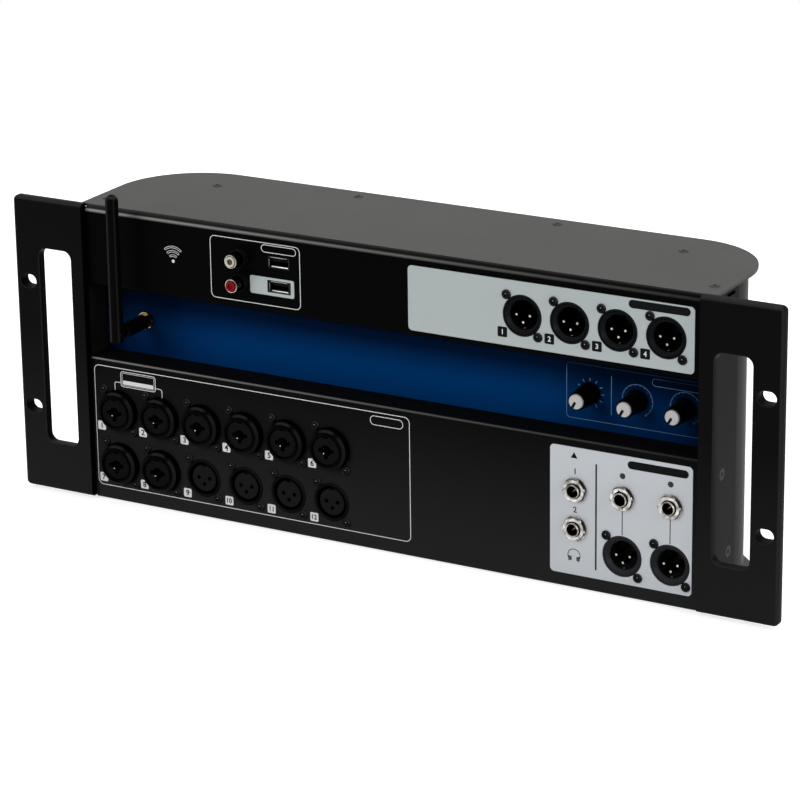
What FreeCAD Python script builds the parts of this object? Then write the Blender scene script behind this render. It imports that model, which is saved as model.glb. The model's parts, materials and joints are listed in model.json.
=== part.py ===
import FreeCAD, Part
import math
import os
from FreeCAD import Vector

# Rack-mount digital mixer and stage box, four rack units high.
# Frame: +X to the right seen from the front, -Y to the front, +Z up, millimetres.
# Origin: middle of the bottom cover's underside, halfway between the rack ears'
# front faces and the covers' rear edge.

# Driving dimensions.

rack_width = 482.6        # over both ears
ear_reach = 45.8          # ears' outer edge past the side wall's outer face
ear_rise = 1.5            # ears' lower edge above the underside
lower_face = 87.0         # height of the panel below the control recess
recess_tall = 43.0
upper_face = 47.0         # height of the panel above the recess
case_depth = 101.4        # ears' front face to the covers' rear edge

sheet = 1.5               # steel sheet of panel, wall and covers
cover_overhang = 4.0      # covers stand out past the walls
corner_radius = 50.0      # rear corners, wall and covers alike
bend_inside = 1.0         # inner radius of a sheet metal bend
panel_bend = 2.6          # outer radius of the panel's top and bottom folds
seat_gap = 0.3            # air between sheets that slide past each other
screw_gap = 0.1           # round a screw's shank or head
snug = 0.02               # round a ring or bush that is pressed or screwed home
past = 1.0                # a cutting tool runs this far past a face
fine_edge = 0.5           # broken edges of turned and moulded parts
hole_corner = 0.6         # corners of punched square holes
screw_tip_gap = 1.0       # a sheet's tab stops short of the screws' tips

panel_setback = 4.5       # panel face behind the ears' front face
recess_depth = 17.1       # panel face to the blue fascia's face
fascia_thick = 0.5
label_thick = 0.4
lip_back = 30.0           # end of the panel's lips behind the ears' front face
tab_back = 38.0           # end of the panel's side tabs, which carry the ears
tab_margin = 3.0          # a side tab stops short of the recess
joggle_run = 0.6          # depth in which the panel's fold drops under a cover
joggle_flat = 0.1         # flat of the fold between its bend and its joggle
joggle_gap = 0.35         # seam between the panel's fold and a cover

ear_thick = 5.5
ear_edge_round = 2.6
ear_corner_extra = 0.4    # an ear's corners are rounder than its edges
ear_overlap = 1.6         # ear plate laps in front of the wall
flange_thick = 2.0        # ear's flange along the side wall
flange_back = 41.3        # flange's rear edge behind the ear's front face
flange_trim = 4.0         # flange shorter than the ear at each end
grip_inner = 5.0          # handle opening from the flange
grip_outer = 17.0         # and from the ear's outer edge
handle_length = 118.0
handle_corner = 5.0
handle_edge_round = 1.0
rack_slot_in = 8.75       # slots' middle from the ear's outer edge
rack_slot_pitch = 76.2
rack_slot_length = 11.0
rack_slot_width = 8.0
rack_slot_edge_round = 0.6

board_face = 33.0         # main board's front behind the ears' front face
board_thick = 1.6
board_side_gap = 9.0      # board's edges from the walls
board_low = 6.0
board_top_gap = 5.5       # and from the underside of the top

small_screw_head = 2.5
small_screw_head_tall = 1.5
small_screw_flat = 1.4    # radius of the head's flat crown
small_screw_side = 0.7    # straight part of the head's side
small_screw_shank = 1.45
small_screw_long = 7.0

socket_hole_gap = 0.2
socket_floor = 2.0        # thickness behind a socket's cavity
mouth_edge = 0.4          # bevel inside a socket's mouth
combo_radius = 12.4
combo_wall = 2.7
combo_proud = 4.5
combo_rim_round = 1.3
combo_cavity_depth = 20.0
combo_screw_angle = 50.5  # screws' direction from the socket's axis
combo_screw_gap = 0.5     # screw head to barrel
cup_radius = 11.6
cup_lip = 1.7
cup_wall = 3.3
cup_proud = 0.8
cup_lead_in = 2.5
cup_depth = 15.5
cup_screw_angle = 48.7
cup_screw_gap = 0.28
mic_step = 0.4            # microphone barrels smaller than the cups
mic_wall = 1.5
mic_proud = 0.8
mic_cavity_depth = 14.0
insert_gap = 1.5
insert_set_in = 1.2
contact_deep = 3.0        # open part of a contact hole
jack_hole_floor = 1.0     # and behind its jack hole
key_half = 1.6
key_deep = 0.9
jack_hole_radius = 3.3
pin_radius = 1.2
pin_circle = 3.8
pin_set_in = 3.0
pin_point = 0.6
pin_hole_gap = 0.15
flange_edge_x = 3.1       # flange from its screws' axes
flange_edge_z = 3.1
column_gap = 2.6          # between neighbouring flanges
row_gap = 2.3
row_low = 24.1            # lower row's axis above the underside
input_columns = 6
combo_columns_low = 2
aux_columns = 4
inputs_in = 19.9          # first input column from the side wall's outer face
masters_in = 19.0         # last master column from the other side wall
auxes_in = 22.6
aux_drop = 25.6           # below the top of the case

jack_bore_radius = 3.25
jack_bush_wall = 1.45
jack_bush_proud = 4.7
jack_nut_wall = 1.8
jack_nut_thick = 2.4
jack_nut_bevel = 0.8
jack_body_half = 8.0
jack_floor = 2.0          # body left behind the bore
jack_row = 57.5
jack_drop = 22.0          # second phones jack below the first
light_rise = 12.7         # lights above the jacks
light_radius = 1.6
light_proud = 0.6

line_in_in = 105.5        # from the side wall's outer face
line_in_drop = 16.8       # upper socket below the top of the case
media_pitch_x = 25.4      # line input to USB sockets
media_pitch_z = 14.1
line_in_proud = 10.5
line_ring_radius = 4.55
line_ring_wall = 0.6
line_collar_wall = 0.65
line_collar_proud = 4.0
line_core_hole = 1.65
line_body_edge = 1.0      # body wider than its collars
line_body_corner = 0.8
line_bore_deep = 6.0      # rings end this far behind the panel's face
line_edge = 0.3
usb_wide = 13.6
usb_tall = 6.6
usb_wall = 0.6
usb_proud = 0.3
usb_cut_gap = 0.25
usb_tongue_side = 0.7     # tongue narrower than the shell's inside
usb_tongue_thick = 1.9
usb_tongue_set_in = 1.5
usb_tongue_drop = 0.5     # from the shell's inner top
usb_floor = 6.0           # shell's cavity ends in front of the board

label_corner = 2.5
aux_label_left = 70.1     # from the first aux column
aux_label_right = 6.2     # from the side wall's outer face
aux_label_above = 19.1    # from the aux sockets' axes
aux_label_below = 17.9
master_label_left = 15.1
master_label_right = 6.1
master_label_above = 11.7 # from the lights
master_label_below = 15.7
rec_label_left = 19.0     # from the USB socket's axis
rec_label_right = 9.6
rec_label_above = 4.9
rec_label_below = 5.4

knob_rise = 20.5          # above the recess's shelf
knob_length = 15.5
knob_clear = 1.0          # knob's skirt off the fascia
knob_wall = 1.0
knob_well_gap = 0.3       # round the potentiometer's nut
knob_well_depth = 6.5
knob_skirt = 0.4          # straight rim at the knob's base
knob_skirt_bevel = 0.8
knob_front_bevel = 0.3
knob_rim = 0.5
knob_cap_radius = 4.6
knob_cap_thick = 1.6
knob_cap_proud = 0.3
knob_cap_edge = 0.4
knob_web = 2.4            # knob left between shaft and cap
shaft_radius = 3.0
shaft_fit = 0.05
shaft_flat_in = 1.5       # depth of the shaft's flat
pot_bush_wall = 0.45
pot_bush_proud = 4.8
pot_nut_flats = 9.0
pot_nut_thick = 1.8
pot_half_x = 6.0
pot_half_z = 7.0
pot_corner = 1.0
pot_floor = 2.0           # body left behind the shaft

antenna_in = 30.3         # from the side wall's outer face
antenna_rise = 21.0       # above the recess's shelf
sweep_gap = 0.3           # turning arm to the line inputs' rings
antenna_jack_radius = 3.1
antenna_washer_radius = 5.1
antenna_washer_thick = 0.8
antenna_flats = 8.0
antenna_nut_thick = 2.1
coupling_thick = 3.0
coupling_gap = 0.3
spigot_radius = 3.05
spigot_fit = 0.07
spigot_long = 1.3
neck_step = 0.85          # neck thicker than its spigot
neck_bevel = 0.8
pivot_clear = 6.5         # neck's shoulder to the arm's pivot
tongue_thick = 3.0
tongue_radius = 2.6
tongue_gap = 0.3
antenna_pin_radius = 1.0
antenna_pin_fit = 0.06
pin_end = 0.6             # hinge pin's ends below the arm's sides
arm_radius = 4.0
arm_tip_radius = 3.7
arm_foot = 4.3            # arm's lower end below its pivot
arm_length = 82.7         # pivot to tip
arm_cap_length = 10.0
arm_groove = 0.35

cover_screw_head = 3.0
cover_screw_long = 7.0
cover_screw_shank = 1.5
side_screw = (4.2, 24.0)      # in from the side wall, back from the front
corner_screw = (46.5, 21.9)   # in from the side wall and from the rear wall
rear_screw = (64.0, 5.4)      # from the middle, in from the rear wall
pillar_flats = 8.0
wall_lip = 15.0
ear_screw_head = 3.5
ear_screw_long = 7.5
low_ear_screw = (33.0, 26.0)   # back from the front, above the underside
mid_ear_screw = (23.5, 13.7)   # back from the front, below the recess
high_ear_screw = (33.0, 23.0)  # back from the front, below the top
wall_slot_back = 26.0
wall_slot_long = 10.5
wall_slot_tall = 2.0
wall_slot_drop = 4.4

rear_row_z = 38.0
inlet_in = 90.5           # from the side wall's outer face
switch_pitch = 43.0       # inlet to power switch
network_pitch = 52.0      # power switch to network jack
inlet_wide = 27.0
inlet_tall = 19.6
inlet_corner = 1.0
inlet_flange_wide = 49.0
inlet_flange_tall = 22.5
inlet_flange_thick = 3.0
inlet_flange_corner = 4.0
inlet_deep = 22.0
inlet_wall = 1.3
inlet_cavity_deep = 17.0
inlet_cavity_corner = 4.5
inlet_cavity_round = 0.8
inlet_screw_in = 4.5      # from the flange's ends
blade_wide = 2.0
blade_tall = 4.0
blade_spread = 7.0
blade_offset = 2.0
blade_set_in = 2.0
rocker_half_x = 5.0
rocker_half_z = 6.7
rocker_tilt = 9.0
rocker_axis_in = 4.5      # rocker's axis below the frame's face
rocker_proud = 5.0        # axis to the middle of the rocker's face
rocker_low = 3.2
rocker_back = 1.7
rocker_edge = 0.8
rocker_dip = 4.0          # rounding of the hollow between its two faces
rocker_keel = 2.0
rocker_heel = 0.5
rocker_gap_x = 0.4
rocker_gap_z = 1.4
trunnion_radius = 1.0
trunnion_long = 0.9
frame_side_x = 3.2
frame_side_z = 3.3
frame_lip = 1.6
frame_deep = 14.0
frame_corner = 1.5
frame_well_corner = 0.4
well_deep = 9.0
network_wide = 16.0
network_tall = 13.4
network_deep = 21.0
network_brim = 2.0
network_cavity_wide = 11.8
network_cavity_tall = 7.6
network_cavity_deep = 12.5
network_cavity_rise = 1.0
network_latch_half = 3.0
network_latch_low = 1.2
vent_columns = 9
vent_pitch = 11.0
vent_wide = 3.0
vent_long = 30.0
vent_z = 120.0
vent_margin = 14.0        # last vent slot from where the corner begins

supply_in = 55.5          # from the side wall's outer face
supply_wide = 96.0
supply_tall = 34.0
supply_air = 2.0          # to the main board and to the rear fittings
supply_corner = 2.0
spacer_flats = 6.0
spacer_rise = 21.5        # above the recess's shelf
spacer_spread = 60.0      # two spacers from the middle
antenna_spacer = 35.2     # third spacer from the antenna jack

# Values tied to the driving ones.

case_height = lower_face + recess_tall + upper_face
wall_half = rack_width / 2 - ear_reach
front = -case_depth / 2
rear = case_depth / 2
panel_y = front + panel_setback
panel_back = panel_y + sheet
label_y = panel_y - label_thick
fascia_y = panel_y + recess_depth
band_y = fascia_y + fascia_thick
band_back = band_y + sheet
board_y = front + board_face
wall_rear = rear - cover_overhang
wall_front = front + ear_thick + seat_gap
wall_inner = wall_half - sheet
cover_half = wall_half + cover_overhang
cover_under = case_height - sheet
joggle_turn = math.atan2(sheet, joggle_run)
joggle_start = panel_y + panel_bend + sheet * math.tan(joggle_turn / 2) + joggle_flat
cover_front = joggle_start + joggle_run + joggle_gap
recess_low = lower_face
recess_high = lower_face + recess_tall
panel_half = wall_inner - seat_gap

ear_inner = wall_half - ear_overlap
ear_outer = rack_width / 2
ear_height = case_height
ear_bottom = ear_rise
ear_top = ear_rise + ear_height
ear_middle = (ear_bottom + ear_top) / 2
ear_corner = ear_edge_round + ear_corner_extra
flange_outer = wall_half + flange_thick
handle_inner = flange_outer + grip_inner
handle_outer = ear_outer - grip_outer
rack_slot_x = ear_outer - rack_slot_in
ear_screws = (
    low_ear_screw,
    (mid_ear_screw[0], recess_low - mid_ear_screw[1]),
    (high_ear_screw[0], case_height - high_ear_screw[1]),
)
cover_screws = (
    (wall_half - side_screw[0], front + side_screw[1]),
    (wall_half - corner_screw[0], wall_rear - corner_screw[1]),
    (rear_screw[0], wall_rear - rear_screw[1]),
)

combo_cavity_radius = combo_radius - combo_wall
mic_radius = cup_radius - mic_step
mic_cavity_radius = mic_radius - mic_wall
pin_hole_radius = pin_radius + pin_hole_gap
combo_screw_far = combo_radius + small_screw_head + combo_screw_gap
combo_screw = (
    combo_screw_far * math.cos(math.radians(combo_screw_angle)),
    combo_screw_far * math.sin(math.radians(combo_screw_angle)),
)
cup_screw_far = cup_radius + small_screw_head + cup_screw_gap
cup_screw = (
    cup_screw_far * math.cos(math.radians(cup_screw_angle)),
    cup_screw_far * math.sin(math.radians(cup_screw_angle)),
)
flange_half_x = combo_screw[0] + flange_edge_x
flange_half_z = combo_screw[1] + flange_edge_z
pitch = 2 * flange_half_x + column_gap
row_high = row_low + 2 * flange_half_z + row_gap
inputs_x = inputs_in - wall_half
master_columns = (wall_half - masters_in - pitch, wall_half - masters_in)
phones_x = master_columns[0] - pitch
aux_x = wall_half - auxes_in - pitch * (aux_columns - 1)
aux_z = case_height - aux_drop
combo_places = [(inputs_x + pitch * i, row_high) for i in range(input_columns)]
combo_places += [(inputs_x + pitch * i, row_low) for i in range(combo_columns_low)]
mic_places = [(inputs_x + pitch * i, row_low) for i in range(combo_columns_low, input_columns)]
aux_places = [(aux_x + pitch * i, aux_z) for i in range(aux_columns)]
master_places = [(x, row_low) for x in master_columns]
jack_places = [(phones_x, jack_row), (phones_x, jack_row - jack_drop)]
jack_places += [(x, jack_row) for x in master_columns]
light_z = jack_row + light_rise
light_places = [(x, light_z) for x in master_columns]
jack_bush_radius = jack_bore_radius + jack_bush_wall
jack_nut_radius = jack_bush_radius + jack_nut_wall

line_in_x = line_in_in - wall_half
usb_x = line_in_x + media_pitch_x
media_z_high = case_height - line_in_drop
media_z_low = media_z_high - media_pitch_z
line_collar_radius = line_ring_radius + line_collar_wall
line_body_half = line_collar_radius + line_body_edge
aux_label = (
    aux_x - aux_label_left,
    wall_half - aux_label_right,
    aux_z - aux_label_below,
    aux_z + aux_label_above,
)
master_label = (
    phones_x - master_label_left,
    wall_half - master_label_right,
    row_low - master_label_below,
    light_z + master_label_above,
)
rec_label = (
    usb_x - rec_label_left,
    usb_x + rec_label_right,
    media_z_low - rec_label_below,
    media_z_low + rec_label_above,
)

knob_z = recess_low + knob_rise
knob_base = fascia_y - knob_clear
knob_tip = knob_base - knob_length
knob_well_radius = pot_nut_flats / 2 / math.cos(math.radians(30)) + knob_well_gap
knob_base_radius = knob_well_radius + knob_wall
knob_front_radius = knob_cap_radius + knob_rim
knob_places = {"phones": phones_x, "mix_left": master_columns[0], "mix_right": master_columns[1]}
shaft_end = knob_tip + knob_cap_thick + knob_web
pot_bush_radius = shaft_radius + shaft_fit + pot_bush_wall

antenna_x = antenna_in - wall_half
antenna_z = recess_low + antenna_rise
pivot_y = panel_y - line_in_proud - arm_tip_radius - sweep_gap
coupling_back = fascia_y - antenna_washer_thick - antenna_nut_thick
coupling_front = coupling_back - coupling_thick
neck_radius = spigot_radius + neck_step

inlet_x = wall_half - inlet_in
switch_x = inlet_x - switch_pitch
network_x = switch_x - network_pitch
inlet_cavity_wide = inlet_wide - 2 * inlet_wall
inlet_cavity_tall = inlet_tall - 2 * inlet_wall
inlet_screw_half = inlet_flange_wide / 2 - inlet_screw_in
rocker_axis_y = wall_rear + frame_lip - rocker_axis_in
frame_well_x = rocker_half_x + rocker_gap_x
frame_well_z = rocker_half_z + rocker_gap_z
frame_half_x = frame_well_x + frame_side_x
frame_half_z = frame_well_z + frame_side_z
vent_half = (vent_columns - 1) / 2 * vent_pitch + vent_wide / 2
vent_x = wall_half - corner_radius - vent_margin - vent_half
board_half = wall_inner - board_side_gap
board_high = cover_under - board_top_gap
supply_right = wall_half - supply_in
spacer_x = (antenna_x + antenna_spacer, -spacer_spread, spacer_spread)
spacer_z = recess_low + spacer_rise

lift = {
    "top": lambda u, v, w: Vector(u, v, w),
    "front": lambda u, v, w: Vector(u, w, v),
    "side": lambda u, v, w: Vector(w, u, v),
}
nodes = {}


# Shapes.

def block(x0, x1, y0, y1, z0, z1):
    return Part.makeBox(x1 - x0, y1 - y0, z1 - z0, Vector(x0, y0, z0))


def rod(radius, start, end):
    path = end - start
    return Part.makeCylinder(radius, path.Length, start, path)


def corner_cut(before, corner, after, radius):
    """Tangent points and middle of the arc that rounds one corner."""
    back = (before - corner).normalize()
    ahead = (after - corner).normalize()
    half = back.getAngle(ahead) / 2
    reach = radius / math.tan(half)
    inward = (back + ahead).normalize()
    middle = corner + inward * (radius / math.sin(half) - radius)
    return corner + back * reach, middle, corner + ahead * reach


def outline(points, radii, plane, w, closed=True):
    """Wire through 2-D points, each corner rounded by its own radius."""
    corners = [lift[plane](u, v, w) for u, v in points]
    count = len(corners)
    if not isinstance(radii, (list, tuple)):
        radii = [radii] * count
    edges = []
    last = None
    first = None
    for i, corner in enumerate(corners):
        if radii[i] > 0 and (closed or 0 < i < count - 1):
            a, m, b = corner_cut(corners[i - 1], corner, corners[(i + 1) % count], radii[i])
        else:
            a = m = b = corner
        if last is not None and (a - last).Length > 1e-6:
            edges.append(Part.makeLine(last, a))
        if m is not corner:
            edges.append(Part.Arc(a, m, b).toShape())
        if first is None:
            first = a
        last = b
    if closed and (first - last).Length > 1e-6:
        edges.append(Part.makeLine(last, first))
    return Part.Wire(edges)


def prism(points, radii, plane, w0, w1):
    """Solid between two parallel planes, with a rounded outline."""
    face = Part.Face(outline(points, radii, plane, w0))
    return face.extrude(lift[plane](0, 0, w1) - lift[plane](0, 0, w0))


def rectangle(u0, u1, v0, v1):
    return [(u0, v0), (u1, v0), (u1, v1), (u0, v1)]


def panel_rectangle(x0, x1, z0, z1, corner, y0, y1):
    return prism(rectangle(x0, x1, z0, z1), corner, "front", y0, y1)


def hexagon(x, z, flats, y0, y1):
    points = []
    for i in range(6):
        turn = math.radians(60 * i)
        radius = flats / 2 / math.cos(math.radians(30))
        points.append((x + radius * math.cos(turn), z + radius * math.sin(turn)))
    return prism(points, 0, "front", y0, y1)


def turned(profile, x, z):
    """Solid of revolution about the line parallel to Y at x, z; profile is (radius, y)."""
    corners = [Vector(x + r, y, z) for r, y in profile]
    face = Part.Face(Part.makePolygon(corners + corners[:1]))
    return face.revolve(Vector(x, 0, z), Vector(0, 1, 0), 360)


def along_y(radius, x, z, y0, y1):
    return rod(radius, Vector(x, y0, z), Vector(x, y1, z))


def cut_all(shape, tools):
    return shape.cut(Part.makeCompound(tools))


def edges_at(shape, test):
    return [edge for edge in shape.Edges if test(edge)]


def on_plane(edge, axis, value):
    box = edge.BoundBox
    low = getattr(box, axis + "Min")
    high = getattr(box, axis + "Max")
    return abs(low - value) < 1e-4 and abs(high - value) < 1e-4


def mirrored(shape):
    return shape.mirror(Vector(0, 0, 0), Vector(1, 0, 0))


def both_sides(shape):
    return [shape, mirrored(shape)]


def group(solids):
    return Part.makeCompound(solids)


# Folded front panel.

def offset_path(points, distance):
    """The same path moved sideways, with mitred corners."""
    normals = []
    for a, b in zip(points, points[1:]):
        length = math.dist(a, b)
        normals.append(((a[1] - b[1]) / length, (b[0] - a[0]) / length))
    befores = normals[:1] + normals
    afters = normals + normals[-1:]
    moved = []
    for (u, v), (au, av), (bu, bv) in zip(points, befores, afters):
        scale = distance / (1 + au * bu + av * bv)
        moved.append((u + (au + bu) * scale, v + (av + bv) * scale))
    return moved


def folded_sheet(points, bends, thickness, x0, x1):
    """Sheet whose outer face follows the path; bends are radii on the outer face."""
    inner = offset_path(points, thickness)
    inner_bends = []
    for i, bend in enumerate(bends):
        if bend == 0:
            inner_bends.append(0)
            continue
        (au, av), (bu, bv), (cu, cv) = points[i - 1:i + 2]
        turn = (bu - au) * (cv - bv) - (bv - av) * (cu - bu)
        inner_bends.append(bend - thickness if turn > 0 else bend + thickness)
    return prism(points + inner[::-1], bends + inner_bends[::-1], "side", x0, x1)


def panel_path():
    bottom = [
        (front + lip_back, sheet),
        (joggle_start + joggle_run, sheet),
        (joggle_start, 0),
        (panel_y, 0),
        (panel_y, recess_low),
        (band_y, recess_low),
    ]
    top = [
        (band_y, recess_high),
        (panel_y, recess_high),
        (panel_y, case_height),
        (joggle_start, case_height),
        (joggle_start + joggle_run, cover_under),
        (front + lip_back, cover_under),
    ]
    outer = bend_inside + sheet
    bends = [0, 0, 0, panel_bend, outer, bend_inside, bend_inside, outer, panel_bend, 0, 0, 0]
    return (bottom + top)[::-1], bends[::-1]


def socket_holes(y0, y1):
    """Round holes for the sockets and for their screws, through panel or label."""
    holes = []
    for places, radius, offset in socket_kinds():
        for x, z in places:
            holes.append(along_y(radius + socket_hole_gap, x, z, y0, y1))
            for side in (-1, 1):
                sx = x + side * offset[0]
                sz = z - side * offset[1]
                holes.append(along_y(small_screw_shank + screw_gap, sx, sz, y0, y1))
    for x, z in jack_places:
        holes.append(along_y(jack_bush_radius + socket_hole_gap, x, z, y0, y1))
    for x, z in light_places:
        holes.append(along_y(light_radius + screw_gap, x, z, y0, y1))
    return holes


def socket_kinds():
    return (
        (combo_places, combo_radius, combo_screw),
        (mic_places, mic_radius, cup_screw),
        (aux_places, cup_radius, cup_screw),
        (master_places, cup_radius, cup_screw),
    )


def usb_hole(z, y0, y1):
    half_x = usb_wide / 2 + usb_cut_gap
    half_z = usb_tall / 2 + usb_cut_gap
    return panel_rectangle(usb_x - half_x, usb_x + half_x, z - half_z, z + half_z, hole_corner, y0, y1)


def ear_screw_holes():
    start = panel_half - sheet - past
    end = flange_outer + past
    hole = cover_screw_shank + screw_gap
    return [rod(hole, Vector(start, front + y, z), Vector(end, front + y, z)) for y, z in ear_screws]


def through_panel(radius, x, z):
    return along_y(radius, x, z, panel_y - past, panel_back + past)


def panel_tab(z0, z1):
    """Side tab behind the panel's face, which an ear is screwed to."""
    return block(panel_half - sheet, panel_half, panel_back - sheet / 2, front + tab_back, z0, z1)


def fascia_holes(y0, y1):
    """Holes for the volume controls and the antenna jack."""
    holes = [along_y(pot_bush_radius + screw_gap, x, knob_z, y0, y1) for x in knob_places.values()]
    holes.append(along_y(antenna_jack_radius + screw_gap, antenna_x, antenna_z, y0, y1))
    return holes


def front_panel():
    points, bends = panel_path()
    panel = folded_sheet(points, bends, sheet, -panel_half, panel_half)
    tab_end = cover_screw_long + screw_tip_gap
    lower = panel_tab(tab_end, recess_low - tab_margin)
    upper = panel_tab(recess_high + tab_margin, case_height - tab_end)
    panel = panel.fuse(both_sides(lower) + both_sides(upper)).removeSplitter()
    cuts = socket_holes(panel_y - past, panel_back + past)
    cuts += fascia_holes(fascia_y - past, band_back + past)
    for z in (media_z_high, media_z_low):
        cuts.append(usb_hole(z, panel_y - past, panel_back + past))
        cuts.append(through_panel(line_collar_radius + socket_hole_gap, line_in_x, z))
    for hole in ear_screw_holes():
        cuts += both_sides(hole)
    x, y = cover_screws[0]
    lip_hole = rod(cover_screw_shank + screw_gap, Vector(x, y, cover_under - sheet - past),
                   Vector(x, y, cover_under + past))
    cuts += both_sides(lip_hole) + both_sides(flipped(lip_hole))
    return cut_all(panel, cuts)


def blue_fascia():
    low = recess_low + bend_inside
    high = recess_high - bend_inside
    fascia = panel_rectangle(-panel_half, panel_half, low, high, 0, fascia_y, band_y)
    return cut_all(fascia, fascia_holes(fascia_y - past, band_y + past))


def label(bounds, extra):
    plate = panel_rectangle(*bounds, label_corner, label_y, panel_y)
    return cut_all(plate, socket_holes(label_y - past, panel_y + past) + extra)


# Covers, wall and ears.

def case_outline(half, y_front, y_rear, z0, z1):
    points = rectangle(-half, half, y_front, y_rear)
    return prism(points, [0, 0, corner_radius, corner_radius], "top", z0, z1)


def cover_screw_places():
    return [(side * x, y) for x, y in cover_screws for side in (-1, 1)]


def cover_screw(x, y, gap):
    """Countersunk screw pointing down from the top cover's outer face."""
    head = cover_screw_head + gap
    shank = cover_screw_shank + gap
    cone = Part.makeCone(head, shank, head - shank, Vector(x, y, case_height), Vector(0, 0, -1))
    start = Vector(x, y, case_height - head + shank)
    stem = rod(shank, start, Vector(x, y, case_height - cover_screw_long))
    return cone.fuse(stem).removeSplitter()


def flipped(shape):
    """Mirror about the case's middle height, for what top and bottom share."""
    return shape.mirror(Vector(0, 0, case_height / 2), Vector(0, 0, 1))


def top_cover():
    plate = case_outline(cover_half, cover_front, rear, cover_under, case_height)
    return cut_all(plate, [cover_screw(x, y, screw_gap) for x, y in cover_screw_places()])


def chassis_wall():
    wall = case_outline(wall_half, wall_front, wall_rear, sheet, cover_under)
    room = case_outline(wall_inner, wall_front - past, wall_rear - sheet, 0, case_height)
    lip_front = front + lip_back + seat_gap
    lip_half = wall_half - wall_lip
    inside = rectangle(-lip_half, lip_half, lip_front - past, wall_rear - wall_lip)
    lips = []
    for z0 in (sheet, cover_under - sheet):
        ring = case_outline(wall_half - sheet / 2, lip_front, wall_rear - sheet / 2, z0, z0 + sheet)
        lips.append(ring.cut(prism(inside, 0, "top", z0 - past, z0 + sheet + past)))
    wall = wall.cut(room).fuse(lips).removeSplitter()
    cuts = both_sides(wall_slot(wall_inner))
    for hole in ear_screw_holes():
        cuts += both_sides(hole)
    for x, y in cover_screw_places():
        lip_hole = rod(cover_screw_shank + screw_gap, Vector(x, y, cover_under - sheet - past),
                       Vector(x, y, cover_under + past))
        cuts += [lip_hole, flipped(lip_hole)]
    cuts += rear_cutouts()
    return cut_all(wall, cuts)


def wall_slot(x):
    """Tool for the narrow slot high on a side, from x outwards through the ear's flange."""
    y = front + wall_slot_back
    z = case_height - wall_slot_drop
    return block(x - past, flange_outer + past, y, y + wall_slot_long, z - wall_slot_tall, z)


def rear_hole(x, half_x, half_z, corner):
    """Tool for a punched hole in the rear wall."""
    return panel_rectangle(x - half_x, x + half_x, rear_row_z - half_z, rear_row_z + half_z, corner,
                           wall_rear - sheet - past, wall_rear + past)


def vent_slot(x):
    half = vent_wide / 2
    return panel_rectangle(x - half, x + half, vent_z - vent_long / 2, vent_z + vent_long / 2, half,
                           wall_rear - sheet - past, wall_rear + past)


def rear_cutouts():
    gap = socket_hole_gap
    cuts = [
        rear_hole(inlet_x, inlet_wide / 2 + gap, inlet_tall / 2 + gap, inlet_corner),
        rear_hole(switch_x, frame_half_x - frame_lip, frame_half_z - frame_lip, hole_corner),
        rear_hole(network_x, network_wide / 2 + gap, network_tall / 2 + gap, hole_corner),
    ]
    for x in inlet_screw_places():
        hole = small_screw_shank + screw_gap
        cuts.append(along_y(hole, x, rear_row_z, wall_rear - sheet - past, wall_rear + past))
    for i in range(vent_columns):
        x = vent_x + vent_pitch * (i - (vent_columns - 1) / 2)
        cuts += both_sides(vent_slot(x))
    return cuts


def ear_hole(x0, x1, z0, z1, corner):
    """Tool for an opening right through an ear's plate."""
    return panel_rectangle(x0, x1, z0, z1, corner, front - past, front + ear_thick + past)


def rounded_rims(plate, x0, x1, radius):
    """Plate with the front rims of its openings between x0 and x1 rounded over."""
    rims = edges_at(plate, lambda edge: on_plane(edge, "Y", front) and within(edge, x0, x1))
    return plate.makeFillet(radius, rims)


def right_ear():
    """Rack ear: thick plate with a handle opening and two slots, and a flange along the wall."""
    corners = [0, ear_corner, ear_corner, 0]
    plate = panel_rectangle(ear_inner, ear_outer, ear_bottom, ear_top, corners, front, front + ear_thick)
    outer = edges_at(plate, lambda edge: on_plane(edge, "Y", front) and not on_plane(edge, "X", ear_inner))
    plate = plate.makeFillet(ear_edge_round, outer)
    half = handle_length / 2
    cuts = [ear_hole(handle_inner, handle_outer, ear_middle - half, ear_middle + half, handle_corner)]
    slot_from = rack_slot_x - rack_slot_length / 2
    slot_to = rack_slot_x + rack_slot_length / 2
    half = rack_slot_width / 2
    for z in (ear_middle - rack_slot_pitch / 2, ear_middle + rack_slot_pitch / 2):
        cuts.append(ear_hole(slot_from, slot_to, z - half, z + half, half))
    plate = cut_all(plate, cuts)
    plate = rounded_rims(plate, handle_inner, handle_outer, handle_edge_round)
    plate = rounded_rims(plate, slot_from, slot_to, rack_slot_edge_round)
    flange = block(wall_half, flange_outer, front + ear_thick, front + flange_back,
                   ear_bottom + flange_trim, ear_top - flange_trim)
    ear = plate.fuse(flange).removeSplitter().cut(wall_slot(wall_half))
    return cut_all(ear, [ear_screw(y, z, screw_gap) for y, z in ear_screws])


def within(edge, x0, x1):
    box = edge.BoundBox
    return box.XMin > x0 - 0.01 and box.XMax < x1 + 0.01


def ear_screw(y, z, gap):
    head = ear_screw_head + gap
    shank = cover_screw_shank + gap
    start = Vector(flange_outer, front + y, z)
    cone = Part.makeCone(head, shank, head - shank, start, Vector(-1, 0, 0))
    stem = rod(shank, start - Vector(head - shank, 0, 0), start - Vector(ear_screw_long, 0, 0))
    return cone.fuse(stem).removeSplitter()


# Sockets.

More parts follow.
